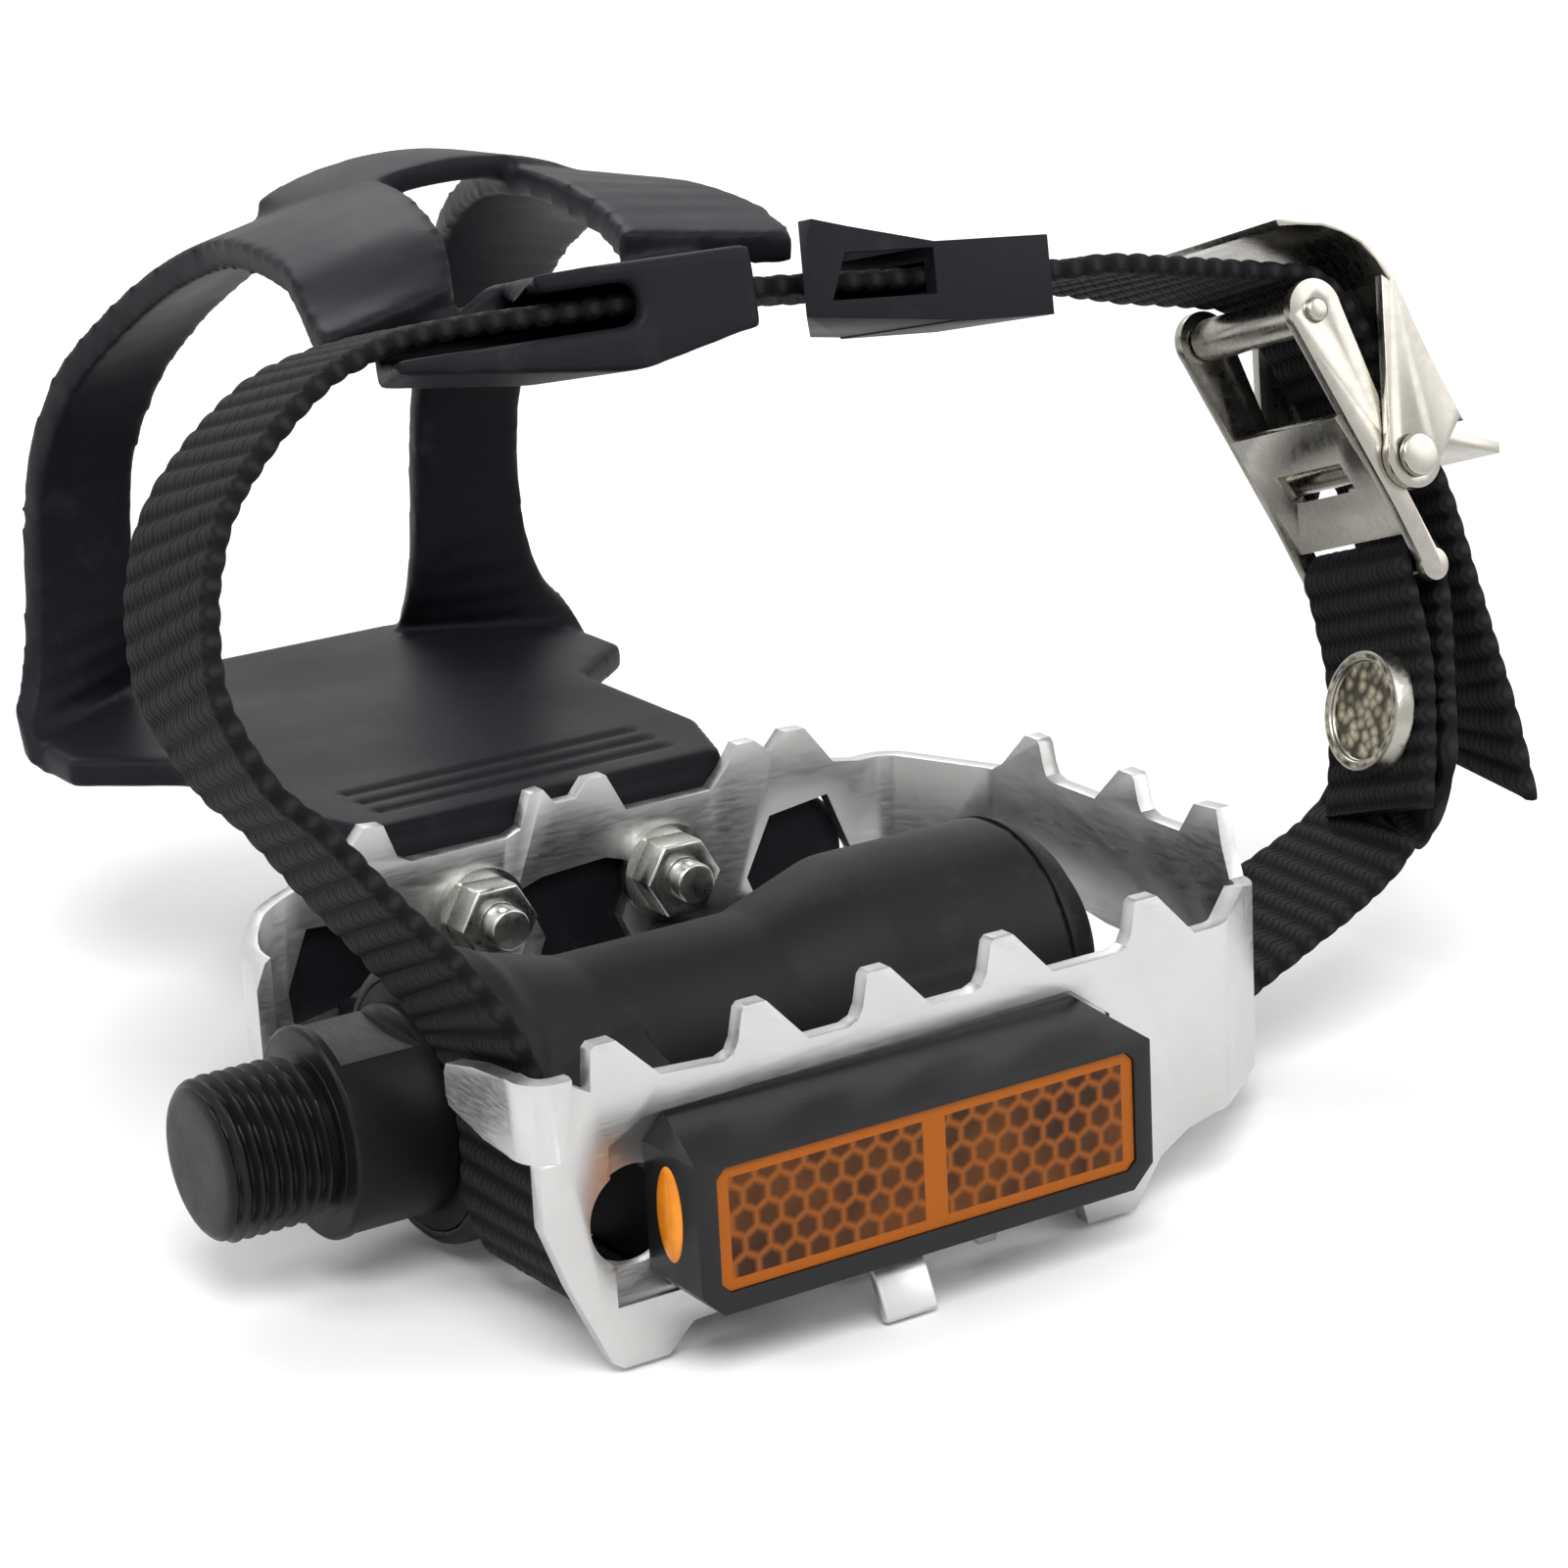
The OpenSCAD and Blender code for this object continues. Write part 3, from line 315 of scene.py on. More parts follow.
def buildAmberLens():
    look, plan = lensLook, lensPlan
    mat, tree, shader, coord = newMaterial("amberLens", look["base"], rough=0.25, specular=0.12)
    shader.inputs["Coat Weight"].default_value = look["coat"]
    shader.inputs["Coat Roughness"].default_value = look["coatRough"]
    cells = useGroup(tree, honeycomb, coord.outputs["Object"], Cells=look["cells"])
    core = addRange(tree, cells.outputs["Edge"], (0.6, 1.0))
    slow = addNoise(tree, coord.outputs["Object"], scale=130.0, detail=2.0)
    deep = addMixColor(tree, addRange(tree, slow, (0.35, 0.65), (0.1, 0.9)),
        look["dark"], look["light"])
    faceted = addMixColor(tree, core, deep, look["edge"])
    # the cells fill two panels, with a plain bar between them and a plain border
    split = addSplit(tree, coord.outputs["Object"])
    panel = 1.0
    for axis, side, middle, half in (("X", "GREATER_THAN", plan["bar"], plan["halfBar"]),
            ("X", "LESS_THAN", plan["middle"], plan["halfWide"]),
            ("Z", "LESS_THAN", plan["height"], plan["halfHigh"])):
        away = addMath(tree, "ABSOLUTE",
            addMath(tree, "SUBTRACT", split.outputs[axis], middle * mm))
        panel = addMath(tree, "MULTIPLY", addMath(tree, side, away, half * mm), panel)
    setColor(tree, shader, panel, look["border"], faceted)
    addBump(tree, shader, addMath(tree, "MULTIPLY", cells.outputs["Edge"], panel),
        distance=0.0003, strength=0.5)
    return mat


def buildAmberEye():
    mat, tree, shader, coord = newMaterial("amberEye", (0.75, 0.24, 0.01), rough=0.2, specular=0.3)
    slow = addNoise(tree, coord.outputs["Object"], scale=260.0, detail=2.0)
    setColor(tree, shader, addRange(tree, slow, (0.3, 0.7)), (0.8, 0.27, 0.012), (0.5, 0.13, 0.006))
    return mat


def buildPebbled():
    # the dull cast face in the middle of the strap's button, with painted shade in the grooves
    # between its pebbles
    mat, tree, shader, coord = newMaterial("castFace", (0.45, 0.4, 0.3), metal=1.0, rough=0.4)
    cells = tree.nodes.new("ShaderNodeTexVoronoi")
    cells.inputs["Scale"].default_value = 900.0
    tree.links.new(coord.outputs["Object"], cells.inputs["Vector"])
    # painted shade: the grooves between the pebbles are darkened, and the middles of the pebbles
    # stay light
    tone = addRange(tree, cells.outputs["Distance"], (0.1, 0.7))
    setColor(tree, shader, tone, (0.62, 0.56, 0.42), (0.09, 0.08, 0.06))
    addBump(tree, shader, cells.outputs["Distance"], distance=-0.0005, strength=0.8)
    return mat


print("materials")
# metals and plastics: name, colour, lowest and highest roughness, and for metals the stretch
finish = {
    "alloy": brushedMetal("cageAlloy", (0.66, 0.66, 0.655), (0.3, 0.48), (4, 4, 30),
        darker=0.78, bump=0.1),
    "bodyResin": mouldedPlastic("bodyResin", (0.011, 0.011, 0.0125), (0.42, 0.58)),
    "clipResin": mouldedPlastic("clipResin", (0.01, 0.01, 0.013), (0.4, 0.54), specular=0.09),
    "glossCase": mouldedPlastic("glossCase", (0.009, 0.009, 0.01), (0.26, 0.4),
        dusty=0.1, specular=0.25),
    "blackSteel": brushedMetal("blackSteel", (0.008, 0.008, 0.009), (0.28, 0.44), (40, 4, 4),
        darker=0.7, metal=0.0, specular=0.14),
    "zinc": brushedMetal("zincPlate", (0.6, 0.6, 0.57), (0.2, 0.38), (6, 6, 6),
        darker=0.75, bump=0.1),
    "nickel": brushedMetal("nickelPlate", (0.47, 0.45, 0.405), (0.2, 0.36), (6, 14, 6),
        darker=0.66, bump=0.1),
    "ground": brushedMetal("groundSteel", (0.6, 0.6, 0.6), (0.12, 0.25), (2, 20, 20), darker=0.85),
    "rubber": mouldedPlastic("sealRubber", (0.014, 0.014, 0.014), (0.6, 0.8)),
    "webbing": buildWebbing(),
    "amber": buildAmberLens(),
    "eye": buildAmberEye(),
    "cast": buildPebbled(),
}

# pieces that stay the CAD's own solids
plainNodes = {
    "cage_screws": "blackSteel", "inner_seal": "rubber", "inner_cup": "ground",
    "outer_cup": "ground", "inner_balls": "ground", "outer_balls": "ground", "cone": "ground",
    "lock_washer": "zinc", "lock_nut": "zinc", "toe_clip_washers": "zinc",
    "button_washer": "nickel", "rear_reflector_lens": "amber", "front_reflector_lens": "amber",
}


def dress(obj, key):
    obj.data.materials.clear()
    obj.data.materials.append(finish[key])


for name, key in plainNodes.items():
    dress(nodes[name], key)


def smoothByAngle(obj, degrees):
    pick(obj)
    bpy.ops.object.shade_smooth_by_angle(angle=radians(degrees))


# how close points are merged, in metres, and how flat faces are joined, in degrees
merge = {"weld": 0.000004, "flat": 0.6}


def copyOf(name, newName):
    # a merged copy of a node, whose flat faces are whole again
    obj = nodes[name].copy()
    obj.data = nodes[name].data.copy()
    obj.name = newName
    for label in list(obj.keys()):
        del obj[label]
    obj.parent = None
    obj.matrix_world = Matrix.Identity(4)
    bpy.context.scene.collection.objects.link(obj)
    editAll(obj)
    bpy.ops.mesh.remove_doubles(threshold=merge["weld"])
    bpy.ops.mesh.dissolve_limited(angle_limit=radians(merge["flat"]))
    bpy.ops.object.mode_set(mode="OBJECT")
    return obj


def roundEdges(obj, radius, steps, degrees=35):
    # rounds the edges that are sharper than the angle, and shades the rest smooth
    pick(obj)
    mod = obj.modifiers.new("softEdge", "BEVEL")
    mod.width = radius * mm
    mod.segments = steps
    mod.limit_method = "ANGLE"
    mod.angle_limit = radians(degrees)
    mod.use_clamp_overlap = True
    mod.harden_normals = False
    bpy.ops.object.modifier_apply(modifier=mod.name)
    smoothByAngle(obj, degrees=40)


def settle(obj, body, names, key):
    dress(obj, key)
    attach(obj, body)
    if names:
        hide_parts(*names)


# pieces that are the CAD solid with its edges rounded:
# node, new name, body, radius in millimetres, steps, finish, slot
roundedPieces = [
    ("cage", "toothedCage", "pedal", 0.22, 2, "alloy", "cage_alloy"),
    ("dust_cap", "domedCap", "pedal", 0.3, 2, "bodyResin", "body_resin"),
    ("rear_reflector_housing", "rearCase", "pedal", 1.0, 4, "glossCase", "reflector_case"),
    ("front_reflector_housing", "frontCase", "pedal", 0.5, 2, "glossCase", "reflector_case"),
    ("toe_clip_bolts", "clipBolts", "pedal", 0.25, 2, "zinc", "plated_steel"),
    ("toe_clip_nuts", "clipNuts", "pedal", 0.3, 2, "zinc", "plated_steel"),
    ("strap_slider", "strapSleeve", "slider", 0.45, 3, "clipResin", "clip_resin"),
    ("buckle_frame", "bucklePlates", "pedal", 0.2, 2, "nickel", "buckle_steel"),
    ("buckle_lever", "buckleCover", "lever", 0.22, 2, "nickel", "buckle_steel"),
    ("buckle_roller", "buckleBarrel", "roller", 0.25, 2, "nickel", "buckle_steel"),
    ("buckle_pin", "buckleRivets", "pedal", 0.25, 3, "nickel", "buckle_steel"),
]
for node, newName, body, radius, steps, key, slot in roundedPieces:
    piece = copyOf(node, newName)
    roundEdges(piece, radius, steps)
    settle(piece, body, [node], key)
print("rounded pieces")


def mouldPiece(node, newName, key, cell, rounds):
    # one skin over the whole moulding, so that its parts flow into each other
    obj = copyOf(node, newName)
    pick(obj)
    skin = obj.modifiers.new("skin", "REMESH")
    skin.mode = "VOXEL"
    skin.voxel_size = cell * mm
    bpy.ops.object.modifier_apply(modifier=skin.name)
    soft = obj.modifiers.new("flow", "SMOOTH")
    soft.factor = 0.5
    soft.iterations = rounds
    bpy.ops.object.modifier_apply(modifier=soft.name)
    bpy.ops.object.shade_smooth()
    settle(obj, "pedal", [node], key)
    return obj


# how the basket is shaped after its skin, in millimetres
basketShape = {
    # the feet of the arms are drawn in where they stand out beside the platform
    "middle": 43.3, "halfWide": 31.4, "drawIn": 0.75, "footLow": 14.0, "footTop": 24.0,
    # the crank side of the hood is tucked down behind the strap: where, how far down and forward
    "hoodEnd": 31.0, "hoodFade": 27.5, "hoodLow": 61.5, "tuckLow": 63.2, "tuckHigh": 65.2,
    "tuckSlope": 0.4, "tuckTo": 12.5, "tuckFrom": 25.0, "tuck": 2.6, "forward": 1.3,
    # three shallow grooves near the rear edge of the platform, at their places in Y
    "deck": 13.6, "deckNear": 0.35, "grooves": (37.6, 41.0, 44.4), "grooveHalf": 16.0,
    "grooveDeep": 0.45, "grooveWide": 0.9,
}


def ease(value, low, high):
    t = min(1.0, max(0.0, (value - low) / (high - low)))
    return t * t * (3 - 2 * t)


def shapeBasket(obj):
    form = basketShape
    for v in obj.data.vertices:
        x, y, up = v.co / mm
        out = abs(x - form["middle"]) - form["halfWide"]
        if out > 0:
            side = 1 if x > form["middle"] else -1
            x -= side * form["drawIn"] * out * (1 - ease(up, form["footLow"], form["footTop"]))
        if x < form["hoodEnd"] and up > form["hoodLow"]:
            share = 1 - ease(y, form["tuckTo"], form["tuckFrom"])
            level = up + form["tuckSlope"] * (y - form["tuckTo"])
            share *= ease(level, form["tuckLow"], form["tuckHigh"]) \
                * (1 - ease(x, form["hoodFade"], form["hoodEnd"]))
            up -= form["tuck"] * share
            y += form["forward"] * share
        onDeck = abs(up - form["deck"]) < form["deckNear"]
        if onDeck and abs(x - form["middle"]) < form["grooveHalf"]:
            near = min(abs(y - g) for g in form["grooves"])
            up -= form["grooveDeep"] * max(0.0, 1 - near / form["grooveWide"])
        v.co = Vector((x, y, up)) * mm


mouldPiece("pedal_body", "mouldedBody", "bodyResin", cell=0.5, rounds=6)
shapeBasket(mouldPiece("toe_clip", "toeBasket", "clipResin", cell=0.55, rounds=9))
print("moulded pieces")

# the buckle's place and its bar in millimetres, how far the strap's middle turns round the bar,
# and its lean in degrees
buckleSize = {"at": Vector((104.2, 2.2, 52.8)), "lean": 18, "bar": (7.4, -24.9), "loop": 2.025}


def atBuckle(u, v):
    # u runs outwards from the buckle's place and v up along its leaning plates
    a = radians(buckleSize["lean"])
    return buckleSize["at"] + Vector((u, v * sin(a), v * cos(a)))


# the webbing in millimetres: ribs, yarns, the section's edges and corners, and the slanted cut
strapSize = {"width": 15.0, "thick": 1.9, "step": 0.33, "ribHeight": 0.46, "ribSharp": 0.7,
    "ribLow": 0.9, "ribWide": 0.12, "yarn": 1.5, "yarnShare": 0.3, "edge": 1.2, "edgeShare": 0.35,
    "corner": 0.45, "sideShare": 0.45, "across": 22, "cutRun": 9.0, "cutSlant": 3.5}

# the route in millimetres: the free end, over the roller, the loop, round the bar to the short end
strapRoute = [atBuckle(u, v) for u, v in (
    (14.3, -46), (14.1, -40), (13.4, -33), (12.7, -26), (11.9, -19), (10.2, -12), (8, -6),
    (5.4, -0.5), (2.6, 2.9), (-2, 4.2), (-9, 5.6))]
strapRoute += [Vector(p) for p in (
    (84.3, 3.6, 60.5), (79, 3.6, 61), (67, 3.75, 62.1), (54, 4.2, 63.3), (44.8, 4.6, 64),
    (37, 4.8, 64.2), (28, 4.9, 64.4), (20, 5, 64.6), (13, 4.9, 64.3), (7.1, 4.2, 63.1),
    (3, 3.2, 61.2), (-1, 2, 58.6), (-4.6, 0.7, 55.5), (-7.2, -0.9, 52.1), (-9.4, -3.3, 47),
    (-10.1, -6.2, 40.9), (-7.9, -9.1, 34.6), (-4.4, -11.1, 30.1), (-0.6, -13.8, 24.3),
    (3.2, -16.4, 18.8), (6, -18.6, 13.8), (7.9, -19.6, 8.5), (8.4, -19.9, 3), (8.4, -20, -3),
    (9.6, -20.2, -7.4), (12.6, -20.4, -9.9), (16, -20.4, -10.5), (28, -20.2, -10.5),
    (42, -19.4, -10.8), (50, -18.4, -11.5), (58, -16.6, -11.8), (66, -14.4, -11.8),
    (74, -12, -11.3), (80, -10.4, -8.3), (86, -8.8, -4.2), (92.5, -9, -0.9), (99.5, -8.9, 1.9),
    (104.8, -8.9, 4.4), (108.4, -9, 7.6))]
strapRoute += [atBuckle(u, v) for u, v in ((5.7, -42.6), (7.2, -37.3), (8.2, -33), (9, -29))]
strapTurn = [radians(a) for a in range(10, 171, 20)]
strapRoute += [atBuckle(buckleSize["bar"][0] + buckleSize["loop"] * cos(a),
    buckleSize["bar"][1] + buckleSize["loop"] * sin(a)) for a in strapTurn]
strapShortEnd = [atBuckle(u, v) for u, v in (
    (5.5, -26.4), (5.6, -29), (5.6, -33), (4.85, -37.3), (3.4, -42.6), (2, -46.5))]
strapRoute += strapShortEnd

# how far the strap leans at each point of the route, in degrees
buckleLean = -buckleSize["lean"]
strapLean = [buckleLean] * 11 + [-15] + [-13] * 8
strapLean += [-12, -11, -10, -9, -9, -8, -8, -9, -11, -13, -16, -16, -10, -4] + [-2] * 9
strapLean += [0, 2, 4, 5, 4, 0, -8, -14, -17]
strapLean += [buckleLean] * (2 + len(strapTurn) + len(strapShortEnd))


def curvePoint(p, i, t):
    # a curve through all points, at share t of the way from point i to the next
    a, b, c, d = p[max(i - 1, 0)], p[i], p[i + 1], p[min(i + 2, len(p) - 1)]
    return 0.5 * (2 * b + (c - a) * t + (2 * a - 5 * b + 4 * c - d) * t * t
        + (3 * b - a - 3 * c + d) * t ** 3)


def evenStations(points, leans, step):
    # middle, lean and distance along the strap, at even distances
    parts = 12
    fine, leanFine, travel = [points[0]], [leans[0]], [0.0]
    for i in range(len(points) - 1):
        for k in range(1, parts + 1):
            q = curvePoint(points, i, k / parts)
            travel.append(travel[-1] + (q - fine[-1]).length)
            fine.append(q)
            leanFine.append(leans[i] + (leans[i + 1] - leans[i]) * k / parts)
    count = int(travel[-1] / step)
    out, j = [], 0
    for n in range(count + 1):
        s = travel[-1] * n / count
        while j < len(travel) - 2 and travel[j + 1] < s:
            j += 1
        f = (s - travel[j]) / max(travel[j + 1] - travel[j], 1e-9)
        lean = leanFine[j] + (leanFine[j + 1] - leanFine[j]) * f
        out.append((fine[j].lerp(fine[j + 1], f), lean, s))
    return out


def strapSection():
    # the points round the plain strap: across its width and out of its face
    size = strapSize
    w, t = size["width"] / 2, size["thick"] / 2
    corner, side = size["corner"], t * size["sideShare"]
    flat = [-w + corner + (2 * w - 2 * corner) * i / size["across"]
        for i in range(size["across"] + 1)]
    return [(p, t) for p in flat] + [(w, side), (w, -side)] \
        + [(p, -t) for p in reversed(flat)] + [(-w, -side), (-w, side)]


def withRibs(a, b, s):
    # the section's point a, b with the ribs and yarns that lie at s along the strap
    size = strapSize
    half = size["width"] / 2
    rib = abs(sin(pi * s / ribPitch)) ** size["ribSharp"]
    yarn = 0.5 + 0.5 * cos(2 * pi * (a / size["yarn"] + 0.5 * ((s // ribPitch) % 2)))
    inner = max(0.0, 1 - max(0.0, abs(a) - half + size["edge"]) / size["edge"])
    swell = size["ribHeight"] \
        * (rib * (1 - size["yarnShare"] + size["yarnShare"] * yarn) - size["ribLow"]) \
        * (size["edgeShare"] + (1 - size["edgeShare"]) * inner)
    if abs(a) > half - 0.1:
        a += (1 if a > 0 else -1) * size["ribWide"] * rib
    return a, b + (1 if b > 0 else -1) * swell


def buildStrap():
    stations = evenStations(strapRoute, strapLean, strapSize["step"])
    section = strapSection()
    verts, faces, uvs = [], [], []
    last = len(stations) - 1
    for n, (c, lean, s) in enumerate(stations):
        ahead = (stations[min(n + 1, last)][0] - stations[max(n - 1, 0)][0]).normalized()
        w = Vector((0, -cos(radians(lean)), -sin(radians(lean))))
        w = (w - ahead * w.dot(ahead)).normalized()
        out = ahead.cross(w)
        # the free end is cut on a slant, longer on the heel side
        soonCut = max(0.0, 1 - s / strapSize["cutRun"])
        for a, b in section:
            wide, high = withRibs(a, b, s)
            slant = (1.0 - strapSize["cutSlant"] * a / (strapSize["width"] / 2)) * soonCut
            p = c + w * wide + out * high + ahead * slant
            verts.append(p * mm)
            uvs.append((a, s))
    count = len(section)
    for n in range(last):
        for k in range(count):
            a, b = n * count + k, n * count + (k + 1) % count
            faces.append((a, b, b + count, a + count))
    faces.append(tuple(range(count))[::-1])
    faces.append(tuple(last * count + k for k in range(count)))
    obj = newObject("ribbedStrap", verts, faces)
    layer = obj.data.uv_layers.new(name="alongStrap")
    for loop in obj.data.loops:
        layer.data[loop.index].uv = uvs[loop.vertex_index]
    editAll(obj)
    endFacingOut()
    smoothByAngle(obj, degrees=60)
    settle(obj, "pedal", ["strap"], "webbing")
    print("strap", round(stations[-1][2], 1), "mm long")


buildStrap()

# the spindle's thread, cut as a helix, in millimetres: its flanks, the relief at the shoulder and
# its rise, the rounded tip and the share that its end face keeps, and where the shaft is cut
threadSize = {"length": 10.3, "crest": 7.12, "pitch": 1.27, "depth": 0.72, "flank": 2.6,
    "flat": 0.12, "round": 112, "rings": 96, "relief": 1.3, "neck": 6.0, "rise": 0.35, "slope": 3,
    "tipRound": 1.7, "tipShare": 0.62, "split": 0.1, "weld": 0.002}


def threadRadius(x, angle):
    # x runs from 0 at the shoulder to the length at the tip
    size = threadSize
    phase = ((x / size["pitch"]) + angle / (2 * pi)) % 1.0
    tooth = min(1.0, max(0.0, size["flank"] * abs(phase - 0.5) - size["flat"]))
    r = size["crest"] - size["depth"] * tooth
    fromTip, soft = size["length"] - x, size["tipRound"]
    if fromTip < soft:
        r = min(r, size["crest"] - soft + sqrt(max(0.0, soft ** 2 - (soft - fromTip) ** 2)))
    if x < size["relief"]:
        r = min(r, size["neck"] + max(0.0, x - size["relief"] + size["rise"]) * size["slope"])
    return r


def buildSpindle():
    size = threadSize
    body = copyOf("spindle", "spindleShaft")
    editAll(body)
    bpy.ops.mesh.bisect(plane_co=(-size["split"] * mm, 0, 0), plane_no=(1, 0, 0),
        clear_inner=True, use_fill=True)
    bpy.ops.object.mode_set(mode="OBJECT")
    roundEdges(body, radius=0.25, steps=2)
    settle(body, "spindle", ["spindle"], "blackSteel")
    clearPick()
    bpy.ops.mesh.primitive_grid_add(x_subdivisions=size["rings"], y_subdivisions=size["round"],
        size=1)
    thread = bpy.context.object
    thread.name = "spindleThread"
    for v in thread.data.vertices:
        x = (v.co.x + 0.5) * size["length"]
        angle = (v.co.y + 0.5) * 2 * pi
        r = threadRadius(x, angle)
        v.co = Vector((-x, r * cos(angle), r * sin(angle))) * mm
    editAll(thread)
    bpy.ops.mesh.remove_doubles(threshold=size["weld"] * mm)
    bpy.ops.mesh.select_all(action="DESELECT")
    bpy.ops.object.mode_set(mode="OBJECT")
    # the ring at the tip is drawn in and closed with a flat face
    tip = -size["length"] * mm
    mesh = thread.data
    for e in mesh.edges:
        e.select = max(abs(mesh.vertices[i].co.x - tip) for i in e.vertices) < 1e-6
    bpy.ops.object.mode_set(mode="EDIT")
    bpy.ops.mesh.select_mode(type="EDGE")
    bpy.ops.mesh.extrude_edges_move(TRANSFORM_OT_translate={"value": (0, 0, 0)})
    bpy.ops.transform.resize(value=(1, size["tipShare"], size["tipShare"]),
        center_override=(tip, 0, 0))
    bpy.ops.mesh.edge_face_add()
    endFacingOut()
    smoothByAngle(thread, degrees=38)
    settle(thread, "spindle", [], "blackSteel")


buildSpindle()
print("spindle")

# the strap's button: its place at the buckle in millimetres, how far its axis is turned in
# degrees, and the radius and least height of its sunk face
buttonSize = {"at": (4.0, -37.3), "turn": -75.1, "faceRadius": 4.6, "faceHeight": 0.5}


def buildButton():
    size = buttonSize
    piece = copyOf("strap_button", "strapRivet")
    roundEdges(piece, radius=0.25, steps=3)
    settle(piece, "pedal", ["strap_button"], "nickel")
    # the sunk face in the middle takes the cast finish
    piece.data.materials.append(finish["cast"])
    lean = Matrix.Rotation(-radians(buckleSize["lean"]), 3, "X")
    axis = lean @ Matrix.Rotation(radians(size["turn"]), 3, "Y") @ Vector((0, 0, 1))
    origin = atBuckle(*size["at"]) * mm
    for f in piece.data.polygons:
        away = f.center - origin
        up = away.dot(axis)
        out = (away - axis * up).length
        if out < size["faceRadius"] * mm and up > size["faceHeight"] * mm \
                and abs(f.normal.dot(axis)) > 0.9:
            f.material_index = 1


buildButton()

# the openings in both sides of the strap's slider: the slider's frame, and in it the ends in X
# and Z, how far its start slants, and the cutter's half width, in millimetres and degrees
sleeveWindow = {"at": (63, 3.88, 62.47), "lean": -13, "drop": 5, "x": (-10.2, 0.4),
    "z": (-1.6, 2.4), "slant": 1.6, "half": 14}


def openSleeve():
    plan = sleeveWindow
    obj = bpy.data.objects["strapSleeve"]
    clearPick()
    bpy.ops.mesh.primitive_cube_add(size=1)
    cutter = bpy.context.object
    turn = Matrix.Rotation(radians(plan["lean"]), 4, "X") \
        @ Matrix.Rotation(radians(plan["drop"]), 4, "Y")
    ends = (plan["x"], (-plan["half"], plan["half"]), plan["z"])
    for v in cutter.data.vertices:
        local = Vector([ends[i][0] if v.co[i] < 0 else ends[i][1] for i in range(3)])
        # the upper edge starts later, as the peak above it does
        if v.co.x < 0 and v.co.z > 0:
            local.x += plan["slant"]
        v.co = (Vector(plan["at"]) + turn @ local) * mm
    pick(obj)
    cut = obj.modifiers.new("window", "BOOLEAN")
    cut.operation = "DIFFERENCE"
    cut.object = cutter
    cut.solver = "EXACT"
    bpy.ops.object.modifier_apply(modifier=cut.name)
    bpy.data.objects.remove(cutter)
    smoothByAngle(obj, degrees=40)


openSleeve()
print("button and slider")

# the tab of the strip that is bent out below the rear reflector: its inner side in Y and Z, the
# ends in X and the thickness, in millimetres
lampTab = {"x": (32.3, 37.4), "thick": 1.1,
    "path": [(-31.2, -8.3), (-34.6, -8.3), (-36.0, -8.7), (-36.8, -9.8), (-38.3, -13.0)]}


def buildLampTab():
    clearPick()
    low, high = lampTab["x"]
    path, t = lampTab["path"], lampTab["thick"]
    ring = list(path)
    for i in range(len(path) - 1, -1, -1):
        a = Vector(path[max(i - 1, 0)])
        b = Vector(path[min(i + 1, len(path) - 1)])
        run = (b - a).normalized()
        ring.append((path[i][0] - run.y * t, path[i][1] + run.x * t))
    obj = newObject("lampTab", [Vector((low, y, z)) * mm for y, z in ring],
        [tuple(range(len(ring)))])
    editAll(obj)
    bpy.ops.mesh.extrude_region_move(
        TRANSFORM_OT_translate={"value": ((high - low) * mm, 0, 0)})
    endFacingOut()
    roundEdges(obj, radius=0.3, steps=3, degrees=50)
    settle(obj, "pedal", [], "alloy")


# the amber eye in the crank side end of the rear reflector: place and half sizes in millimetres
sideLens = {"at": (14.25, -35.2, 0.4), "half": (0.55, 1.9, 4.1)}


def buildSideLens():
    clearPick()
    bpy.ops.mesh.primitive_uv_sphere_add(segments=40, ring_count=20, radius=1)
    obj = bpy.context.object
    obj.name = "sideLens"
    for v in obj.data.vertices:
        v.co = (Vector(sideLens["at"]) + v.co * Vector(sideLens["half"])) * mm
    bpy.ops.object.shade_smooth()
    settle(obj, "pedal", [], "eye")


buildLampTab()
buildSideLens()
print("reflector trim")

# the camera, worked out from the photograph's own corners, in millimetres and degrees
view = {"place": (-147.0, -314.8, 135.9), "turn": -31.874, "tilt": 17.284, "roll": -2.957,
    "lens": 101.19, "sensor": 36}


def setUpCamera():
    a, e, r = radians(view["turn"]), radians(view["tilt"]), radians(view["roll"])
    back = Vector((sin(a) * cos(e), -cos(a) * cos(e), sin(e)))
    right = (-back).cross(Vector((0, 0, 1))).normalized()
    up = back.cross(right).normalized()
    right, up = cos(r) * right + sin(r) * up, cos(r) * up - sin(r) * right
    clearPick()
    bpy.ops.object.camera_add()
    cam = bpy.context.object
    cam.name = "photoCamera"
    cam.data.sensor_width = view["sensor"]
    cam.data.lens = view["lens"]
    cam.data.clip_start = 0.01
    turn = Matrix((right, up, back)).transposed().to_4x4()
    cam.matrix_world = Matrix.Translation(Vector(view["place"]) * mm) @ turn
    bpy.context.scene.camera = cam


# the lamps: name, place and diameter in metres, and watts; all aim at one point
lamps = [("keyLight", (-0.35, -0.75, 1.05), 0.7, 12.6), ("fillLight", (0.9, -0.6, 0.6), 0.9, 4.2),
    ("rimLight", (0.25, 0.9, 0.9), 0.7, 5.1), ("sideLight", (-0.75, 0.15, 0.8), 0.5, 3.3)]
lampAim = (0.045, 0.02, 0.02)


def areaLight(name, place, size, watts):
    clearPick()
    bpy.ops.object.light_add(type="AREA", location=place)
    lamp = bpy.context.object
    lamp.name = name
    lamp.data.shape = "DISK"
    lamp.data.size = size
    lamp.data.energy = watts
    aim = Vector(lampAim) - Vector(place)
    lamp.rotation_euler = aim.to_track_quat("-Z", "Y").to_euler()


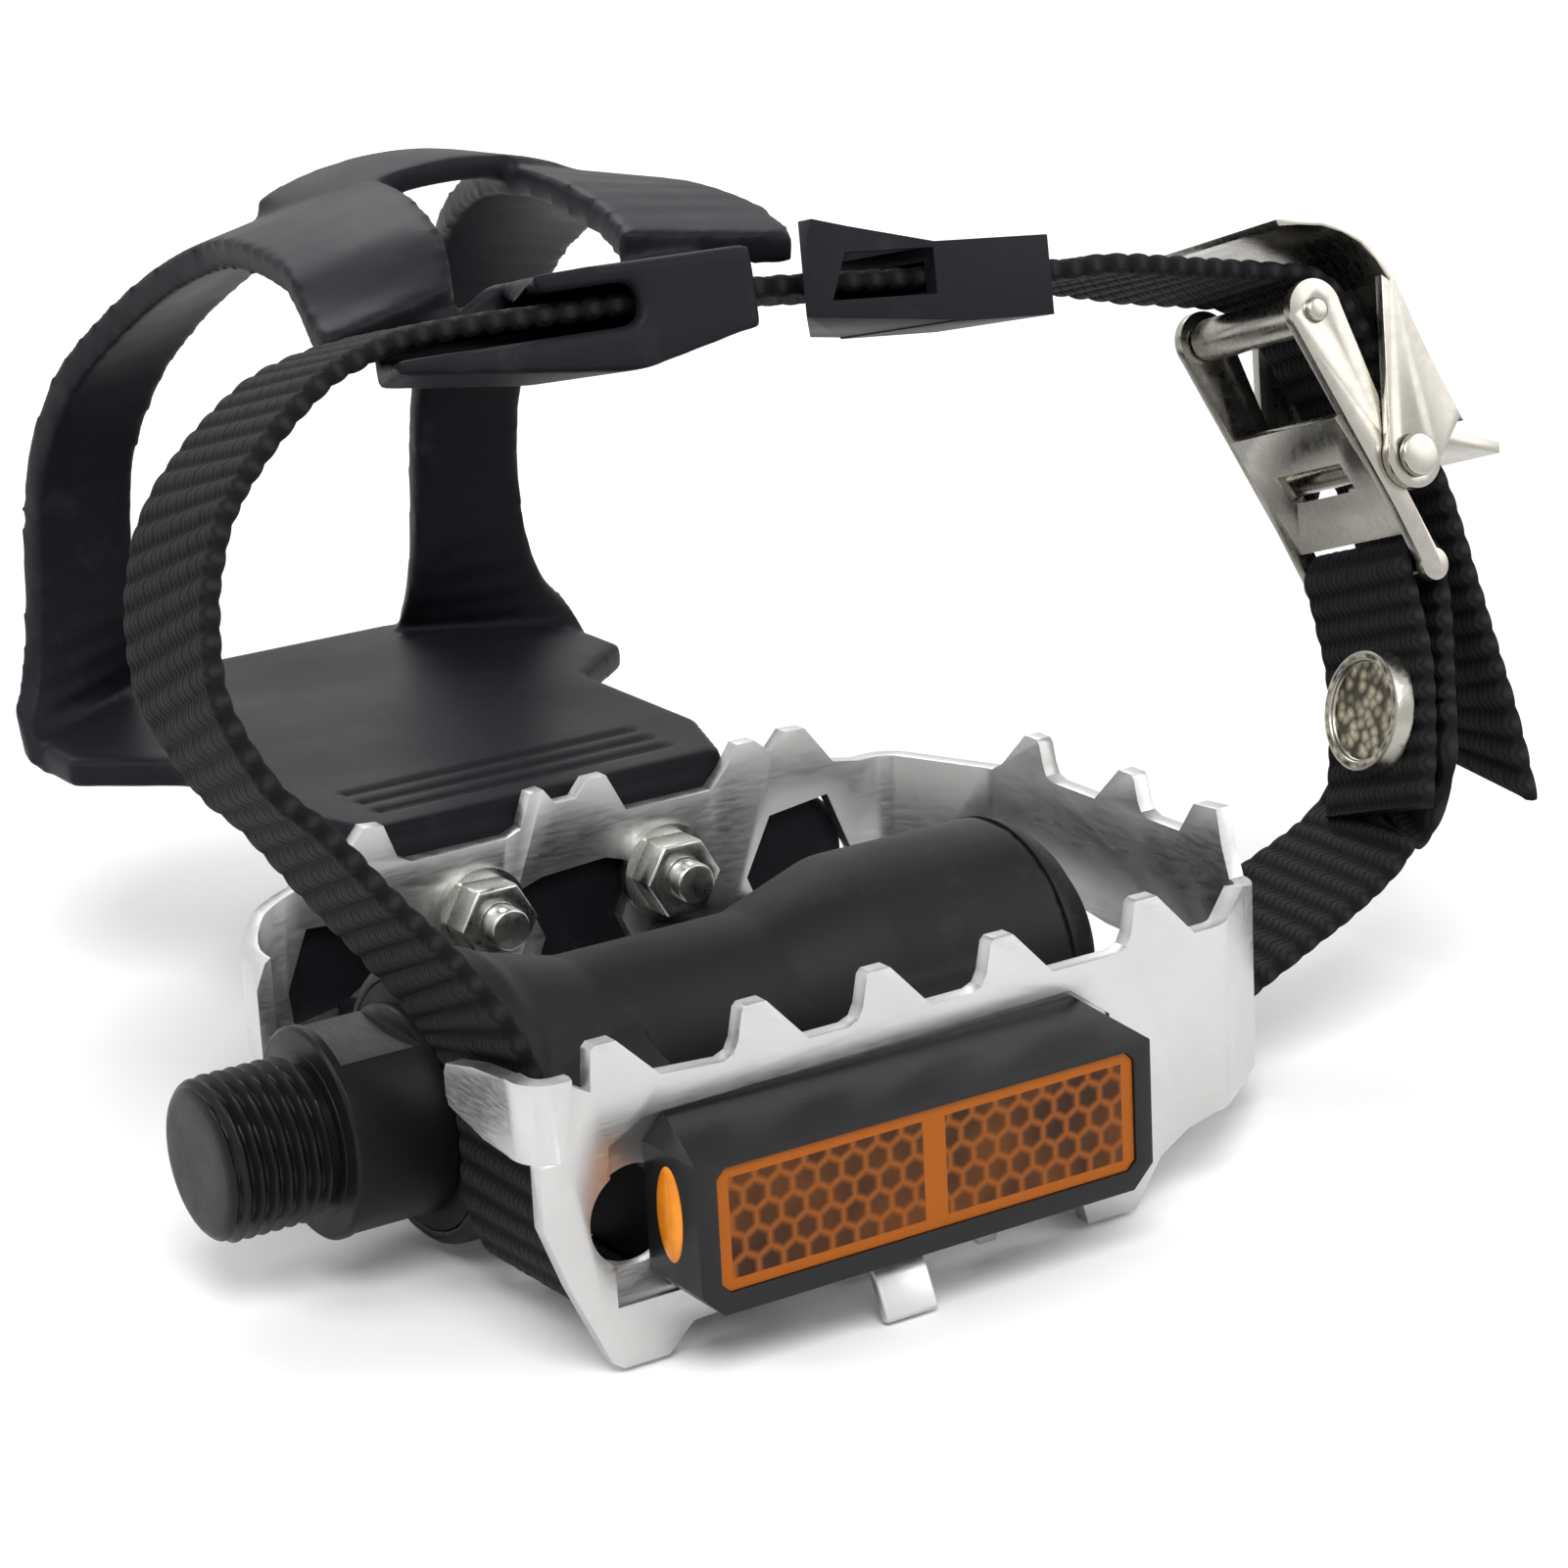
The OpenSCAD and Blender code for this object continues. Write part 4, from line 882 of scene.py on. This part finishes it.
def whiteToCamera(tree, shader, plain, white):
    # camera, glossy and transmission rays see white, all others see the plain level
    path = tree.nodes.new("ShaderNodeLightPath")
    seen = addMath(tree, "MAXIMUM", path.outputs["Is Camera Ray"], path.outputs["Is Glossy Ray"])
    seen = addMath(tree, "MAXIMUM", seen, path.outputs["Is Transmission Ray"])
    mix = tree.nodes.new("ShaderNodeMix")
    mix.data_type = "FLOAT"
    mix.inputs["A"].default_value = plain
    mix.inputs["B"].default_value = white
    tree.links.new(seen, mix.inputs["Factor"])
    tree.links.new(mix.outputs["Result"], shader.inputs["Strength"])


# the room's light, and the floor in metres: it lies a little below the pedal, and its glow grows
# with the distance from its middle
room = {"light": 0.45, "white": 1.0}
floorPlan = {"size": 6, "x": 0.045, "y": 0.03, "below": 0.0002, "tone": 0.9, "rough": 0.9,
    "specular": 0.1, "glowRun": (0.25, 1.2), "glow": (0.04, 0.8)}


def setUpRoom():
    scene = bpy.context.scene
    scene.view_settings.view_transform = "Standard"
    world = bpy.data.worlds.new("paleRoom")
    scene.world = world
    world.use_nodes = True
    back = world.node_tree.nodes["Background"]
    back.inputs["Color"].default_value = (1, 1, 1, 1)
    whiteToCamera(world.node_tree, back, room["light"], room["white"])
    plan = floorPlan
    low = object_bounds()[0][2]
    clearPick()
    bpy.ops.mesh.primitive_plane_add(size=plan["size"],
        location=(plan["x"], plan["y"], low - plan["below"]))
    floor = bpy.context.object
    floor.name = "paleFloor"
    mat, tree, shader, coord = newMaterial("floorPaper", (plan["tone"],) * 3,
        rough=plan["rough"], specular=plan["specular"])
    # far from the pedal the paper is lit for the camera alone, so that it stays white
    length = tree.nodes.new("ShaderNodeVectorMath")
    length.operation = "LENGTH"
    tree.links.new(coord.outputs["Object"], length.inputs[0])
    path = tree.nodes.new("ShaderNodeLightPath")
    glow = addMath(tree, "MULTIPLY", path.outputs["Is Camera Ray"],
        addRange(tree, length.outputs["Value"], plan["glowRun"], plan["glow"]))
    shader.inputs["Emission Color"].default_value = (1, 1, 1, 1)
    tree.links.new(glow, shader.inputs["Emission Strength"])
    floor.data.materials.append(mat)
    for lamp in lamps:
        areaLight(*lamp)


setUpCamera()
setUpRoom()
print("done")
